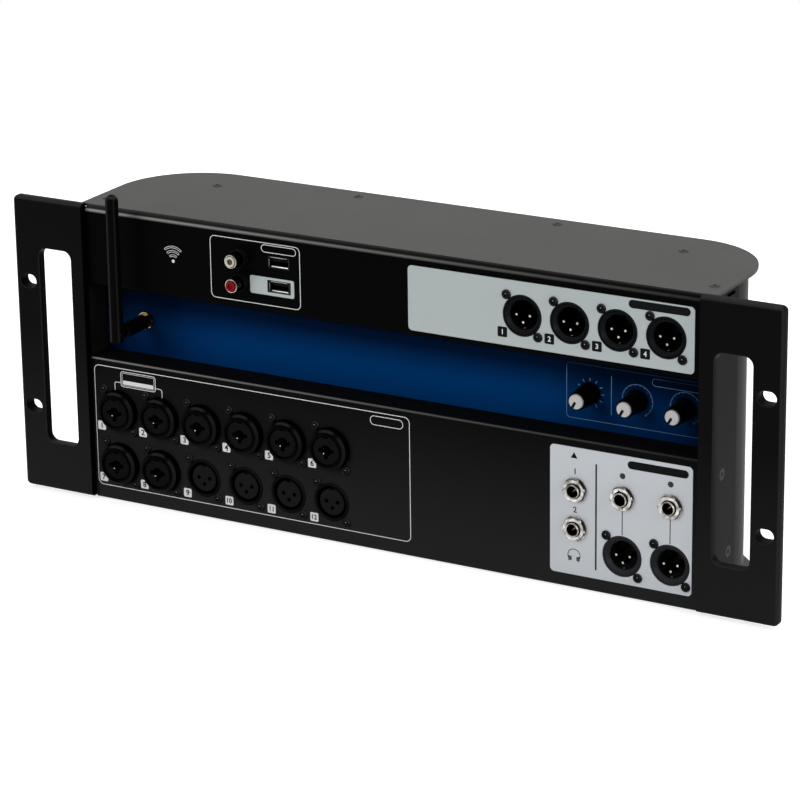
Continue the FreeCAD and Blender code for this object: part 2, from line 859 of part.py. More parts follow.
def socket_shell(profile, x, z, offset):
    """Turned barrel through the panel, in a square moulded body on the board."""
    barrel = turned(profile, x, z)
    body = block(x - flange_half_x, x + flange_half_x, panel_back, board_y, z - flange_half_z, z + flange_half_z)
    radius = max(r for r, y in profile)
    floor = max(y for r, y in profile)
    room = along_y(radius - mouth_edge, x, z, panel_back - past, floor - mouth_edge)
    shell = body.cut(room).fuse(barrel).removeSplitter()
    holes = []
    for side in (-1, 1):
        holes.append(along_y(small_screw_shank + screw_gap, x + side * offset[0], z - side * offset[1],
                             panel_back - past, label_y + small_screw_long + screw_tip_gap))
    return cut_all(shell, holes)


def ring_profile(radius, mouth, bore, lead, proud, depth, edge):
    """Half section of an open barrel, closed at its floor."""
    lip = panel_y - proud
    floor = lip + depth
    back = floor + socket_floor
    return [
        (mouth, lip), (radius - edge, lip), (radius, lip + edge), (radius, back),
        (0, back), (0, floor), (bore, floor), (bore, lip + lead),
    ]


def combo_shell(x, z):
    profile = ring_profile(combo_radius, combo_cavity_radius + mouth_edge, combo_cavity_radius, mouth_edge,
                           combo_proud, combo_cavity_depth, combo_rim_round)
    return socket_shell(profile, x, z, combo_screw)


def mic_shell(x, z):
    profile = ring_profile(mic_radius, mic_cavity_radius + mouth_edge, mic_cavity_radius, mouth_edge,
                           mic_proud, mic_cavity_depth, fine_edge)
    return socket_shell(profile, x, z, cup_screw)


def cup_shell(x, z):
    profile = ring_profile(cup_radius, cup_radius - cup_lip, cup_radius - cup_wall, cup_lead_in, cup_proud,
                           cup_depth, fine_edge)
    return socket_shell(profile, x, z, cup_screw)


def contact_places(x, z):
    return [(x - pin_circle, z), (x + pin_circle, z), (x, z - pin_circle)]


def insert(x, z, radius, lip, depth):
    """Moulded core with its contact holes and the key groove at the top."""
    face = lip + insert_set_in
    contact_end = face + contact_deep
    core = along_y(radius, x, z, face, lip + depth)
    cuts = [along_y(pin_hole_radius, px, pz, face - past, contact_end) for px, pz in contact_places(x, z)]
    top = z + radius
    cuts.append(block(x - key_half, x + key_half, face - past, contact_end, top - key_deep, top + past))
    return cut_all(core, cuts)


def combo_insert(x, z):
    """Core for both plugs: a jack's hole in the middle of the contact holes."""
    lip = panel_y - combo_proud
    core = insert(x, z, combo_cavity_radius - insert_gap, lip, combo_cavity_depth)
    return core.cut(along_y(jack_hole_radius, x, z, lip, lip + combo_cavity_depth - jack_hole_floor))


def mic_insert(x, z):
    return insert(x, z, mic_cavity_radius - insert_gap, panel_y - mic_proud, mic_cavity_depth)


def cup_pins(x, z):
    lip = panel_y - cup_proud
    pins = []
    for px, pz in contact_places(x, z):
        tip = lip + pin_set_in
        pin = along_y(pin_radius, px, pz, tip, lip + cup_depth)
        pins.append(pin.makeChamfer(pin_point, edges_at(pin, lambda edge: on_plane(edge, "Y", tip))))
    return pins


def panel_screw(x, z, seat):
    """Pan-head screw whose head sits at seat."""
    crown = seat - small_screw_head_tall
    tip = seat + small_screw_long
    profile = [
        (0, crown), (small_screw_flat, crown), (small_screw_head, seat - small_screw_side),
        (small_screw_head, seat), (small_screw_shank, seat), (small_screw_shank, tip), (0, tip),
    ]
    return turned(profile, x, z)


def connector_screws():
    screws = []
    for places, radius, offset in socket_kinds():
        seat = label_y if places in (aux_places, master_places) else panel_y
        for x, z in places:
            for side in (-1, 1):
                screws.append(panel_screw(x + side * offset[0], z - side * offset[1], seat))
    return screws


def jack_body(x, z):
    half = jack_body_half
    body = block(x - half, x + half, panel_back, board_y, z - half, z + half)
    return body.cut(along_y(jack_bush_radius + screw_gap, x, z, panel_back - past, board_y - jack_floor))


def jack_bush(x, z):
    lip = panel_y - jack_bush_proud
    end = board_y - jack_floor
    profile = [
        (jack_bore_radius, lip + fine_edge), (jack_bore_radius + fine_edge, lip),
        (jack_bush_radius - fine_edge, lip), (jack_bush_radius, lip + fine_edge),
        (jack_bush_radius, end), (jack_bore_radius, end),
    ]
    return turned(profile, x, z)


def jack_nut(x, z):
    """Hexagon nut with a bevelled crown, screwed down on the label."""
    face = label_y - jack_nut_thick
    flats = 2 * jack_nut_radius * math.cos(math.radians(30))
    nut = hexagon(x, z, flats, face, label_y)
    profile = [(0, face), (jack_nut_radius - jack_nut_bevel, face), (jack_nut_radius, face + jack_nut_bevel),
               (jack_nut_radius, label_y), (0, label_y)]
    crown = turned(profile, x, z)
    bore = along_y(jack_bush_radius + snug, x, z, face - past, label_y + past)
    return nut.common(crown).cut(bore)


def status_light(x, z):
    face = label_y - light_proud
    lens = along_y(light_radius, x, z, face, board_y)
    return lens.makeChamfer(fine_edge, edges_at(lens, lambda edge: on_plane(edge, "Y", face)))


def line_in_body():
    """One moulded body with two round collars that stand through the panel."""
    middle = (media_z_high + media_z_low) / 2
    half_z = (media_z_high - media_z_low) / 2 + line_body_half
    body = panel_rectangle(line_in_x - line_body_half, line_in_x + line_body_half, middle - half_z,
                           middle + half_z, line_body_corner, panel_back, board_y)
    lip = panel_y - line_collar_proud
    collars = []
    bores = []
    for z in (media_z_high, media_z_low):
        collars.append(along_y(line_collar_radius, line_in_x, z, lip, panel_back + past))
        bores.append(along_y(line_ring_radius + snug, line_in_x, z, lip - past, panel_y + line_bore_deep))
    return cut_all(body.fuse(collars).removeSplitter(), bores)


def line_ring(z):
    lip = panel_y - line_in_proud
    end = panel_y + line_bore_deep
    inner = line_ring_radius - line_ring_wall
    profile = [(inner, lip), (line_ring_radius - line_edge, lip), (line_ring_radius, lip + line_edge),
               (line_ring_radius, end), (inner, end)]
    return turned(profile, line_in_x, z)


def line_core(z):
    """Coloured plastic core inside the ring, with the plug's hole."""
    lip = panel_y - line_in_proud + line_edge
    end = panel_y + line_bore_deep
    outer = line_ring_radius - line_ring_wall - snug
    profile = [
        (line_core_hole, lip + line_edge), (line_core_hole + line_edge, lip), (outer, lip), (outer, end),
        (0, end), (0, panel_y), (line_core_hole, panel_y),
    ]
    return turned(profile, line_in_x, z)


def usb_shell(z):
    face = panel_y - usb_proud
    half_x = usb_wide / 2
    half_z = usb_tall / 2
    outer = block(usb_x - half_x, usb_x + half_x, face, board_y, z - half_z, z + half_z)
    half_x -= usb_wall
    half_z -= usb_wall
    room = block(usb_x - half_x, usb_x + half_x, face - past, board_y - usb_floor, z - half_z, z + half_z)
    return outer.cut(room)


def usb_tongue(z):
    top = z + usb_tall / 2 - usb_wall - usb_tongue_drop
    half_x = usb_wide / 2 - usb_wall - usb_tongue_side
    return block(usb_x - half_x, usb_x + half_x, panel_y + usb_tongue_set_in, board_y - usb_floor,
                 top - usb_tongue_thick, top)


# Volume controls.

def pot(x):
    """Potentiometer: body on the board, threaded bush through the fascia, nut on it."""
    body = panel_rectangle(x - pot_half_x, x + pot_half_x, knob_z - pot_half_z, knob_z + pot_half_z,
                           pot_corner, band_back, board_y)
    bush_end = fascia_y - pot_bush_proud
    bush = along_y(pot_bush_radius, x, knob_z, bush_end, band_back + past)
    nut = hexagon(x, knob_z, pot_nut_flats, fascia_y - pot_nut_thick, fascia_y)
    bore = along_y(shaft_radius + shaft_fit, x, knob_z, bush_end - past, board_y - pot_floor)
    return body.fuse([bush, nut]).removeSplitter().cut(bore)


def knob_shaft(x):
    """Shaft with a flat for the knob, in the potentiometer's bore."""
    flat_back = knob_base - knob_well_depth
    shaft = along_y(shaft_radius, x, knob_z, shaft_end, board_y - pot_floor - seat_gap)
    flat = block(x - shaft_radius, x + shaft_radius, shaft_end - past, flat_back,
                 knob_z + shaft_radius - shaft_flat_in, knob_z + shaft_radius + past)
    return shaft.cut(flat)


def knob_body(x):
    """Tapered skirt round a well, with a recess for the cap at its front."""
    seat = knob_tip + knob_cap_thick
    rim = knob_tip + knob_cap_proud
    well = knob_base - knob_well_depth
    skirt = knob_base - knob_skirt
    profile = [
        (0, seat), (knob_cap_radius + snug, seat), (knob_cap_radius + snug, rim),
        (knob_front_radius - knob_front_bevel / 2, rim), (knob_front_radius, rim + knob_front_bevel),
        (knob_base_radius - knob_front_bevel, skirt - knob_skirt_bevel), (knob_base_radius, skirt),
        (knob_base_radius, knob_base), (knob_well_radius, knob_base), (knob_well_radius, well), (0, well),
    ]
    return turned(profile, x, knob_z).cut(knob_shaft(x))


def knob_cap(x):
    seat = knob_tip + knob_cap_thick
    profile = [(0, knob_tip), (knob_cap_radius - knob_cap_edge, knob_tip),
               (knob_cap_radius, knob_tip + knob_cap_edge), (knob_cap_radius, seat), (0, seat)]
    return turned(profile, x, knob_z)


# Antenna.

def antenna_jack():
    """Bulkhead jack: washer and nut on the fascia, nut behind it, barrel to the board."""
    seat = fascia_y - antenna_washer_thick
    washer = along_y(antenna_washer_radius, antenna_x, antenna_z, seat, fascia_y)
    nut = hexagon(antenna_x, antenna_z, antenna_flats, coupling_back, seat)
    barrel = along_y(antenna_jack_radius, antenna_x, antenna_z, coupling_back - coupling_thick / 2, board_y)
    back_nut = hexagon(antenna_x, antenna_z, antenna_flats, band_back, band_back + antenna_nut_thick)
    return washer.fuse([nut, barrel, back_nut]).removeSplitter()


def coupling_nut():
    nut = hexagon(antenna_x, antenna_z, antenna_flats, coupling_front, coupling_back)
    hole = spigot_radius + spigot_fit
    return nut.cut(along_y(hole, antenna_x, antenna_z, coupling_front - past, coupling_back + past))


def across_pivot(radius, half):
    """Round bar along X through the antenna's hinge."""
    start = Vector(antenna_x - half, pivot_y, antenna_z)
    return rod(radius, start, start + Vector(2 * half, 0, 0))


def antenna_swivel():
    """Turned neck on a spigot, with the hinge's tongue at its front."""
    shoulder = pivot_y + pivot_clear
    back = coupling_front - coupling_gap
    spigot_end = back + spigot_long
    profile = [
        (0, shoulder), (neck_radius - neck_bevel, shoulder), (neck_radius, shoulder + neck_bevel),
        (neck_radius, back - fine_edge), (neck_radius - fine_edge, back), (spigot_radius, back),
        (spigot_radius, spigot_end), (0, spigot_end),
    ]
    neck = turned(profile, antenna_x, antenna_z)
    half = tongue_thick / 2
    tongue = block(antenna_x - half, antenna_x + half, pivot_y, shoulder + past, antenna_z - tongue_radius,
                   antenna_z + tongue_radius)
    nose = across_pivot(tongue_radius, half)
    hole = across_pivot(antenna_pin_radius + snug, tongue_thick)
    return neck.fuse([tongue, nose]).removeSplitter().cut(hole)


def antenna_pin():
    return across_pivot(antenna_pin_radius, arm_radius - pin_end)


def antenna_arm():
    """Tapered arm with a domed cap, forked at its foot round the swivel's tongue."""
    foot = antenna_z - arm_foot
    tip = antenna_z + arm_length
    cap = tip - arm_cap_length
    spring = tip - arm_tip_radius
    waist = arm_tip_radius - arm_groove
    points = [(0, foot), (arm_radius - fine_edge, foot), (arm_radius, foot + fine_edge),
              (arm_tip_radius, cap - arm_groove), (waist, cap - arm_groove), (waist, cap),
              (arm_tip_radius, cap), (arm_tip_radius, spring)]
    corners = [Vector(antenna_x + r, pivot_y, z) for r, z in points]
    top = Vector(antenna_x, pivot_y, tip)
    slant = arm_tip_radius * math.sin(math.radians(45))
    on_dome = Vector(antenna_x + slant, pivot_y, spring + slant)
    edges = [Part.makeLine(a, b) for a, b in zip(corners, corners[1:])]
    edges.append(Part.Arc(corners[-1], on_dome, top).toShape())
    edges.append(Part.makeLine(top, corners[0]))
    arm = Part.Face(Part.Wire(edges)).revolve(corners[0], Vector(0, 0, 1), 360)
    half = tongue_thick / 2 + tongue_gap
    reach = tongue_radius + tongue_gap
    slot = block(antenna_x - half, antenna_x + half, pivot_y - reach, pivot_y + arm_radius + past,
                 foot - past, antenna_z + reach)
    return arm.cut(slot).cut(across_pivot(antenna_pin_radius + antenna_pin_fit, arm_radius + past))


# Rear panel fittings.

def power_inlet():
    """Mains inlet: screwed flange outside the wall, body inside, keyed cavity."""
    half_x = inlet_wide / 2
    half_z = inlet_tall / 2
    z = rear_row_z
    mouth = wall_rear + inlet_flange_thick
    body = panel_rectangle(inlet_x - half_x, inlet_x + half_x, z - half_z, z + half_z, inlet_corner,
                           wall_rear - inlet_deep, wall_rear)
    half_x = inlet_flange_wide / 2
    half_z = inlet_flange_tall / 2
    flange = panel_rectangle(inlet_x - half_x, inlet_x + half_x, z - half_z, z + half_z, inlet_flange_corner,
                             wall_rear, mouth)
    half_x = inlet_cavity_wide / 2
    half_z = inlet_cavity_tall / 2
    corner = inlet_cavity_corner
    points = [(-half_x, -half_z), (half_x, -half_z), (half_x, half_z - corner), (half_x - corner, half_z),
              (-half_x + corner, half_z), (-half_x, half_z - corner)]
    points = [(inlet_x + u, z + v) for u, v in points]
    cuts = [prism(points, inlet_cavity_round, "front", mouth - inlet_cavity_deep, mouth + past)]
    for x in inlet_screw_places():
        cuts.append(along_y(small_screw_shank + screw_gap, x, z, wall_rear - past, mouth + past))
    return cut_all(body.fuse(flange).removeSplitter(), cuts)


def inlet_screw_places():
    return (inlet_x - inlet_screw_half, inlet_x + inlet_screw_half)


def inlet_blades():
    mouth = wall_rear + inlet_flange_thick
    half = blade_wide / 2
    blades = []
    for i in (-1, 0, 1):
        x = inlet_x + i * blade_spread
        z = rear_row_z + (blade_offset if i == 0 else -blade_offset)
        blades.append(block(x - half, x + half, mouth - inlet_cavity_deep, mouth - blade_set_in,
                            z - blade_tall / 2, z + blade_tall / 2))
    return blades


def inlet_screws():
    seat = wall_rear + inlet_flange_thick
    screws = []
    for x in inlet_screw_places():
        screw = panel_screw(x, rear_row_z, 0).mirror(Vector(0, 0, 0), Vector(0, 1, 0))
        screws.append(screw.translated(Vector(0, seat, 0)))
    return screws


def across_switch(radius, half):
    """Round bar along X on the rocker's axis."""
    start = Vector(switch_x - half, rocker_axis_y, rear_row_z)
    return rod(radius, start, start + Vector(2 * half, 0, 0))


def switch_frame():
    """Bezel outside the wall, body inside it, and the well that the rocker moves in."""
    z = rear_row_z
    mouth = wall_rear + frame_lip
    bezel = panel_rectangle(switch_x - frame_half_x, switch_x + frame_half_x, z - frame_half_z,
                            z + frame_half_z, frame_corner, wall_rear, mouth)
    half_x = frame_half_x - frame_lip - socket_hole_gap
    half_z = frame_half_z - frame_lip - socket_hole_gap
    body = panel_rectangle(switch_x - half_x, switch_x + half_x, z - half_z, z + half_z, hole_corner,
                           wall_rear - frame_deep, wall_rear)
    well = panel_rectangle(switch_x - frame_well_x, switch_x + frame_well_x, z - frame_well_z,
                           z + frame_well_z, frame_well_corner, mouth - well_deep, mouth + past)
    bearing = across_switch(trunnion_radius + shaft_fit, frame_well_x + trunnion_long)
    return cut_all(bezel.fuse(body).removeSplitter(), [well, bearing])


def power_rocker():
    """V-faced rocker on two stub pins, at rest with its upper end pressed in."""
    z = rear_row_z
    face = rocker_axis_y + rocker_proud
    horn = face + rocker_half_z * math.tan(math.radians(rocker_tilt))
    heel = rocker_axis_y - rocker_back
    points = [(heel, z - rocker_half_z), (horn, z - rocker_half_z), (face, z), (horn, z + rocker_half_z),
              (heel, z + rocker_half_z), (rocker_axis_y - rocker_low, z)]
    rounds = [rocker_heel, rocker_edge, rocker_dip, rocker_edge, rocker_heel, rocker_keel]
    body = prism(points, rounds, "side", switch_x - rocker_half_x, switch_x + rocker_half_x)
    pins = across_switch(trunnion_radius, frame_well_x + trunnion_long - seat_gap)
    rocker = body.fuse(pins).removeSplitter()
    return rocker.rotated(Vector(switch_x, rocker_axis_y, z), Vector(1, 0, 0), rocker_tilt)


def network_block(half_x, y0, y1, z0, z1):
    return block(network_x - half_x, network_x + half_x, y0, y1, z0, z1)


def network_jack():
    """Shielded jack with a brim behind the wall and a latch groove under its cavity."""
    z = rear_row_z
    mouth = wall_rear + usb_proud
    inside = wall_rear - sheet
    half_x = network_wide / 2
    half_z = network_tall / 2
    body = network_block(half_x, wall_rear - network_deep, mouth, z - half_z, z + half_z)
    half_x += network_brim
    half_z += network_brim
    brim = network_block(half_x, inside - sheet, inside, z - half_z, z + half_z)
    bottom = mouth - network_cavity_deep
    low = z - network_cavity_tall / 2 + network_cavity_rise
    cavity = network_block(network_cavity_wide / 2, bottom, mouth + past, low, low + network_cavity_tall)
    latch = network_block(network_latch_half, bottom, mouth + past,
                          low - network_cavity_rise - network_latch_low, low + past)
    return cut_all(body.fuse(brim).removeSplitter(), [cavity, latch])


# Boards and supply.

def main_board():
    return block(-board_half, board_half, board_y, board_y + board_thick, board_low, board_high)


def board_spacers():
    return [hexagon(x, spacer_z, spacer_flats, band_back, board_y) for x in spacer_x]


def power_supply():
    """Closed metal box on the bottom cover, between the main board and the rear fittings."""
    y0 = board_y + board_thick + supply_air
    y1 = wall_rear - inlet_deep - supply_air
    return prism(rectangle(supply_right - supply_wide, supply_right, y0, y1), supply_corner, "top", sheet,
                 sheet + supply_tall)


def hexagon_upright(x, y, flats, z0, z1):
    radius = flats / 2 / math.cos(math.radians(30))
    points = [(x + radius * math.cos(math.radians(60 * i)), y + radius * math.sin(math.radians(60 * i)))
              for i in range(6)]
    return prism(points, 0, "top", z0, z1)


def corner_pillars():
    x, y = cover_screws[1]
    posts = []
    for side in (-1, 1):
        post = hexagon_upright(side * x, y, pillar_flats, sheet, cover_under)
        screw = cover_screw(side * x, y, screw_gap)
        posts.append(cut_all(post, [screw, flipped(screw)]))
    return posts


# The assembly.

def build():
    nodes["front_panel"] = front_panel()
    nodes["blue_fascia"] = blue_fascia()
    nodes["aux_label"] = label(aux_label, [])
    nodes["master_label"] = label(master_label, [])
    nodes["rec_label"] = label(rec_label, [usb_hole(media_z_low, label_y - 1, panel_y + 1)])
    nodes["top_cover"] = top_cover()
    nodes["bottom_cover"] = flipped(top_cover())
    nodes["chassis_wall"] = chassis_wall()
    nodes["right_ear"] = right_ear()
    nodes["left_ear"] = mirrored(right_ear())
    screws = [cover_screw(x, y, 0) for x, y in cover_screw_places()]
    nodes["cover_screws"] = group(screws + [flipped(screw) for screw in screws])
    nodes["ear_screws"] = group([s for y, z in ear_screws for s in both_sides(ear_screw(y, z, 0))])
    nodes["corner_pillars"] = group(corner_pillars())
    nodes["combo_sockets"] = group([combo_shell(x, z) for x, z in combo_places])
    nodes["combo_inserts"] = group([combo_insert(x, z) for x, z in combo_places])
    nodes["mic_sockets"] = group([mic_shell(x, z) for x, z in mic_places])
    nodes["mic_inserts"] = group([mic_insert(x, z) for x, z in mic_places])
    nodes["aux_output_sockets"] = group([cup_shell(x, z) for x, z in aux_places])
    nodes["master_output_sockets"] = group([cup_shell(x, z) for x, z in master_places])
    nodes["output_pins"] = group([pin for x, z in aux_places + master_places for pin in cup_pins(x, z)])
    nodes["connector_screws"] = group(connector_screws())
    nodes["jack_bodies"] = group([jack_body(x, z) for x, z in jack_places])
    nodes["jack_bushes"] = group([jack_bush(x, z) for x, z in jack_places])
    nodes["jack_nuts"] = group([jack_nut(x, z) for x, z in jack_places])
    nodes["status_lights"] = group([status_light(x, z) for x, z in light_places])
    nodes["line_in_body"] = line_in_body()
    nodes["line_in_rings"] = group([line_ring(media_z_high), line_ring(media_z_low)])
    nodes["line_in_core_left"] = line_core(media_z_high)
    nodes["line_in_core_right"] = line_core(media_z_low)
    nodes["usb_shells"] = group([usb_shell(media_z_high), usb_shell(media_z_low)])
    nodes["usb_tongues"] = group([usb_tongue(media_z_high), usb_tongue(media_z_low)])
    nodes["volume_pots"] = group([pot(x) for x in knob_places.values()])
    for name, x in knob_places.items():
        nodes[name + "_shaft"] = knob_shaft(x)
        nodes[name + "_knob"] = knob_body(x)
        nodes[name + "_knob_cap"] = knob_cap(x)
    nodes["antenna_jack"] = antenna_jack()
    nodes["antenna_coupling_nut"] = coupling_nut()
    nodes["antenna_swivel"] = antenna_swivel()
    nodes["antenna_pin"] = antenna_pin()
    nodes["antenna_arm"] = antenna_arm()
    nodes["power_inlet"] = power_inlet()
    nodes["inlet_blades"] = group(inlet_blades())
    nodes["inlet_screws"] = group(inlet_screws())
    nodes["switch_frame"] = switch_frame()
    nodes["power_rocker"] = power_rocker()
    nodes["network_jack"] = network_jack()
    nodes["main_board"] = main_board()
    nodes["board_spacers"] = group(board_spacers())
    nodes["power_supply"] = power_supply()


build()
os.makedirs("parts", exist_ok=True)
for name, shape in nodes.items():
    shape.exportStep("parts/" + name + ".step")
    print(name, len(shape.Solids), "solids", "valid" if shape.isValid() else "INVALID",
          round(sum(solid.Volume for solid in shape.Solids), 1))
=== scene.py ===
import bpy
import bmesh
import json
import math
from mathutils import Euler, Matrix, Vector

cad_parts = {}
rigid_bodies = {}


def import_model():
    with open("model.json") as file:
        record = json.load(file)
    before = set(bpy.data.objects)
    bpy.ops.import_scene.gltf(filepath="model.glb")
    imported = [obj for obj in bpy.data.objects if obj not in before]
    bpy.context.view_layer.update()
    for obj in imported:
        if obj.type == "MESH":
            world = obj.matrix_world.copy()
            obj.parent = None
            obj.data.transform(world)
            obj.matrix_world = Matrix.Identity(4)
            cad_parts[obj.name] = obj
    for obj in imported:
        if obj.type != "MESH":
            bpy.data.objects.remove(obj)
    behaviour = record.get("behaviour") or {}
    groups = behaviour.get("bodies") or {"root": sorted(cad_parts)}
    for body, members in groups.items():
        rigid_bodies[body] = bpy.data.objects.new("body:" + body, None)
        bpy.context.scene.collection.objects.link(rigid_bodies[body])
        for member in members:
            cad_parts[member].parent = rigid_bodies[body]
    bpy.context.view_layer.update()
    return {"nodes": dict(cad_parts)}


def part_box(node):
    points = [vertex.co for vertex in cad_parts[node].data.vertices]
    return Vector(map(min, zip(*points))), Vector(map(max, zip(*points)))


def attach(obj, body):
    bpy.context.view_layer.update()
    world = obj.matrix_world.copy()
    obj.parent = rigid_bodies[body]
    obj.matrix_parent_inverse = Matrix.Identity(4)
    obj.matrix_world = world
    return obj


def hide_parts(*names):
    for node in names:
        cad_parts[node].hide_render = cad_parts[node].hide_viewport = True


for leftover in list(bpy.data.objects):
    bpy.data.objects.remove(leftover)
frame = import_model()
scene = bpy.context.scene
mm = 0.001

# Lengths are millimetres in the part's frame, apart from the lamps' and the floor's, in metres:
# X to the right seen from the front, -Y out of the front panel, Z up from the underside.


def spot(x, y, z):
    return Vector((x, y, z)) * mm


def nodeBox(name):
    low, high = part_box(name)
    return Vector(low) / mm, Vector(high) / mm


def nodeAxis(name):
    # x and z of the line parallel to Y through a node's middle
    low, high = nodeBox(name)
    return (low.x + high.x) / 2, (low.z + high.z) / 2


# The camera.

lens = dict(focal=160.26, sensor=36.0, place=(932.3, -1660.0, 722.2), azimuth=29.708,
            elevation=18.74, roll=-0.784, clip=(0.05, 30))


def makeCamera():
    a, e, r = (math.radians(lens[angle]) for angle in ("azimuth", "elevation", "roll"))
    back = Vector((math.sin(a) * math.cos(e), -math.cos(a) * math.cos(e), math.sin(e)))
    right = (-back).cross(Vector((0, 0, 1))).normalized()
    up = right.cross(-back)
    across = right * math.cos(r) + up * math.sin(r)
    along = up * math.cos(r) - right * math.sin(r)
    data = bpy.data.cameras.new("camera")
    data.lens = lens["focal"]
    data.sensor_width = lens["sensor"]
    data.clip_start, data.clip_end = lens["clip"]
    camera = bpy.data.objects.new("camera", data)
    turn = Matrix((across, along, back)).transposed().to_4x4()
    camera.matrix_world = Matrix.Translation(spot(*lens["place"])) @ turn
    scene.collection.objects.link(camera)
    scene.camera = camera


makeCamera()
print("camera set")


# Shader helpers.

class Wire:
    # one shader output that takes part in Python arithmetic
    def __init__(self, tree, output):
        self.tree = tree
        self.output = output

    def math(self, operation, *values):
        node = self.tree.nodes.new("ShaderNodeMath")
        node.operation = operation
        for socket, value in zip(node.inputs, values):
            join(self.tree, socket, value)
        return Wire(self.tree, node.outputs[0])

    def __add__(self, other):
        return self.math("ADD", self, other)

    def __sub__(self, other):
        return self.math("SUBTRACT", self, other)

    def __rsub__(self, other):
        return self.math("SUBTRACT", other, self)

    def __mul__(self, other):
        return self.math("MULTIPLY", self, other)

    def __truediv__(self, other):
        return self.math("DIVIDE", self, other)

    def __pow__(self, other):
        return self.math("POWER", self, other)

    def __abs__(self):
        return self.math("ABSOLUTE", self)

    __radd__ = __add__
    __rmul__ = __mul__

    def clip(self, low=0.0, high=1.0):
        return self.math("MINIMUM", self.math("MAXIMUM", self, low), high)

    def rise(self, start, end):
        # 0 before start, 1 after end
        return ((self - start) / (end - start)).clip()

    def band(self, start, full, fading, end):
        # 1 between full and fading, 0 before start and after end
        return self.rise(start, full) * (1 - self.rise(fading, end))


def join(tree, socket, value):
    # a colour is three numbers, or one for a grey
    if isinstance(value, Wire):
        tree.links.new(value.output, socket)
    elif socket.type == "RGBA":
        socket.default_value = (*value, 1) if isinstance(value, tuple) else (value, value, value, 1)
    else:
        socket.default_value = value


class Nodes:
    # a node tree whose nodes, but for the arithmetic, all come from one method
    def __init__(self, tree):
        self.tree = tree

    def node(self, kind, settings=None, values=None, out=0):
        node = self.tree.nodes.new("ShaderNode" + kind)
        for key, value in (settings or {}).items():
            setattr(node, key, value)
        for key, value in (values or {}).items():
            join(self.tree, node.inputs[key], value)
        return Wire(self.tree, node.outputs[out])

    def showing(self):
        # 1 for the rays that see the backdrop itself, in a mirror or through glass too
        kinds = ("Is Camera Ray", "Is Glossy Ray", "Is Transmission Ray")
        seen, shiny, through = (self.node("LightPath", out=kind) for kind in kinds)
        return (seen + shiny + through).clip()


class Finish(Nodes):
    # one procedural material on a Principled shader
    def __init__(self, name):
        self.material = bpy.data.materials.new(name)
        self.material.use_nodes = True
        super().__init__(self.material.node_tree)
        self.shader = self.tree.nodes["Principled BSDF"]
        self.place = self.node("TexCoord", out="Object")

    def noise(self, scale, detail=2.0, rough=0.5, vector=None):
        values = {"Vector": vector or self.place, "Scale": scale, "Detail": detail, "Roughness": rough}
        return self.node("TexNoise", values=values)

    def axis(self, letter):
        return self.node("SeparateXYZ", values={"Vector": self.place}, out=letter)

    def along(self, letter, start, end):
        # 0 before start, 1 after end, on one axis
        return self.axis(letter).rise(start * mm, end * mm)

    def slope(self, letter):
        # one part of the surface's direction in the piece's own frame
        normal = self.node("TexCoord", out="Normal")
        return self.node("SeparateXYZ", values={"Vector": normal}, out=letter)

    def bendLighting(self, lit=None):
        # 1 on folded edges and rounded rims, between the front and the sides, or only on the lit ones: the coats
        # paint highlights there, and the cover screws paint shade
        facing = abs(self.slope("Y"))
        if lit is None:
            return facing.band(0.2, 0.45, 0.84, 0.96)
        toLight = self.slope("X") * lit[0] + self.slope("Z") * lit[1] + lit[2]
        return facing.band(0.08, 0.3, 0.5, 0.8) * toLight.clip()

    def foldHighlights(self):
        # a painted highlight: 1 along the panel's outer folded edges that face up, less and less towards the right
        upward = self.slope("Z").rise(-0.05, 0.2)
        shelf = abs(self.slope("Y")).band(0.6, 0.74, 0.84, 0.95) * upward * 0.76
        below = fold["top"] - self.axis("Z") / mm
        top = below.rise(fold["start"], fold["full"]) * 0.95 + 0.05
        top = top * (1 - below.rise(fold["fading"], fold["end"]))
        outer = 1 - self.along("Y", -43.5, -42.5)
        fade = (1 - self.along("X", -200, 200)) ** 1.3 * 0.92 + 0.08
        return (shelf * (1 - self.along("Z", 130, 140)) + top) * outer * fade

    def outward(self):
        # which way a point lies from its input socket's axis, to the right and upwards
        column = self.axis("X") / mm - (inputs["x"] - pitch / 2)
        across = column.math("FLOORED_MODULO", column, pitch) - pitch / 2
        height = self.axis("Z") / mm
        between = (inputs["high"] + inputs["low"]) / 2
        upper = height.rise(between - 0.05, between + 0.05)
        height = height - (upper * (inputs["high"] - inputs["low"]) + inputs["low"])
        reach = (across * across + height * height) ** 0.5
        return across / reach, height / reach

    def shoulderHighlights(self):
        # painted highlights: a thin line over the top of a round shoulder, and a soft crescent on its right
        across, upward = self.outward()
        crescent = (across * 0.28 + upward * 0.18).clip() * (1 - upward.rise(0.7, 0.82))
        return abs(self.slope("Y")).band(0.1, 0.3, 0.48, 0.74) * (crescent + upward.rise(0.87, 0.97))

    def sheenHighlights(self):
        # painted highlights: two soft upright streaks on a round moulding, and one over its tip
        across = self.slope("X")
        left = 1 - (abs(across + 0.4) / 0.22).clip()
        right = 1 - (abs(across - 0.76) / 0.13).clip()
        tip = self.slope("Z").band(0.35, 0.6, 0.75, 0.95)
        return (left + right * 0.5 + tip * 0.8).clip()

    def creviceShade(self, reach):
        # the mask for painted shade: 1 in the open, 0 deep in corners of the same piece
        settings = {"only_local": True, "samples": 12}
        return self.node("AmbientOcclusion", settings, {"Distance": reach * mm}, out="AO")

    def blend(self, first, second, factor):
        return self.node("Mix", {"data_type": "RGBA"}, {0: factor, 6: first, 7: second}, out=2)

    def set(self, **values):
        for key, value in values.items():
            join(self.tree, self.shader.inputs[key.replace("_", " ")], value)
        return self

    def bump(self, height, depth, strength):
        normal = self.node("Bump", values={"Height": height, "Distance": depth * mm, "Strength": strength})
        return self.set(Normal=normal)


# Finishes.

pitch = 28.4
inputs = dict(x=-175.6, high=56.4, low=24.1, columns=6, combosLow=2)

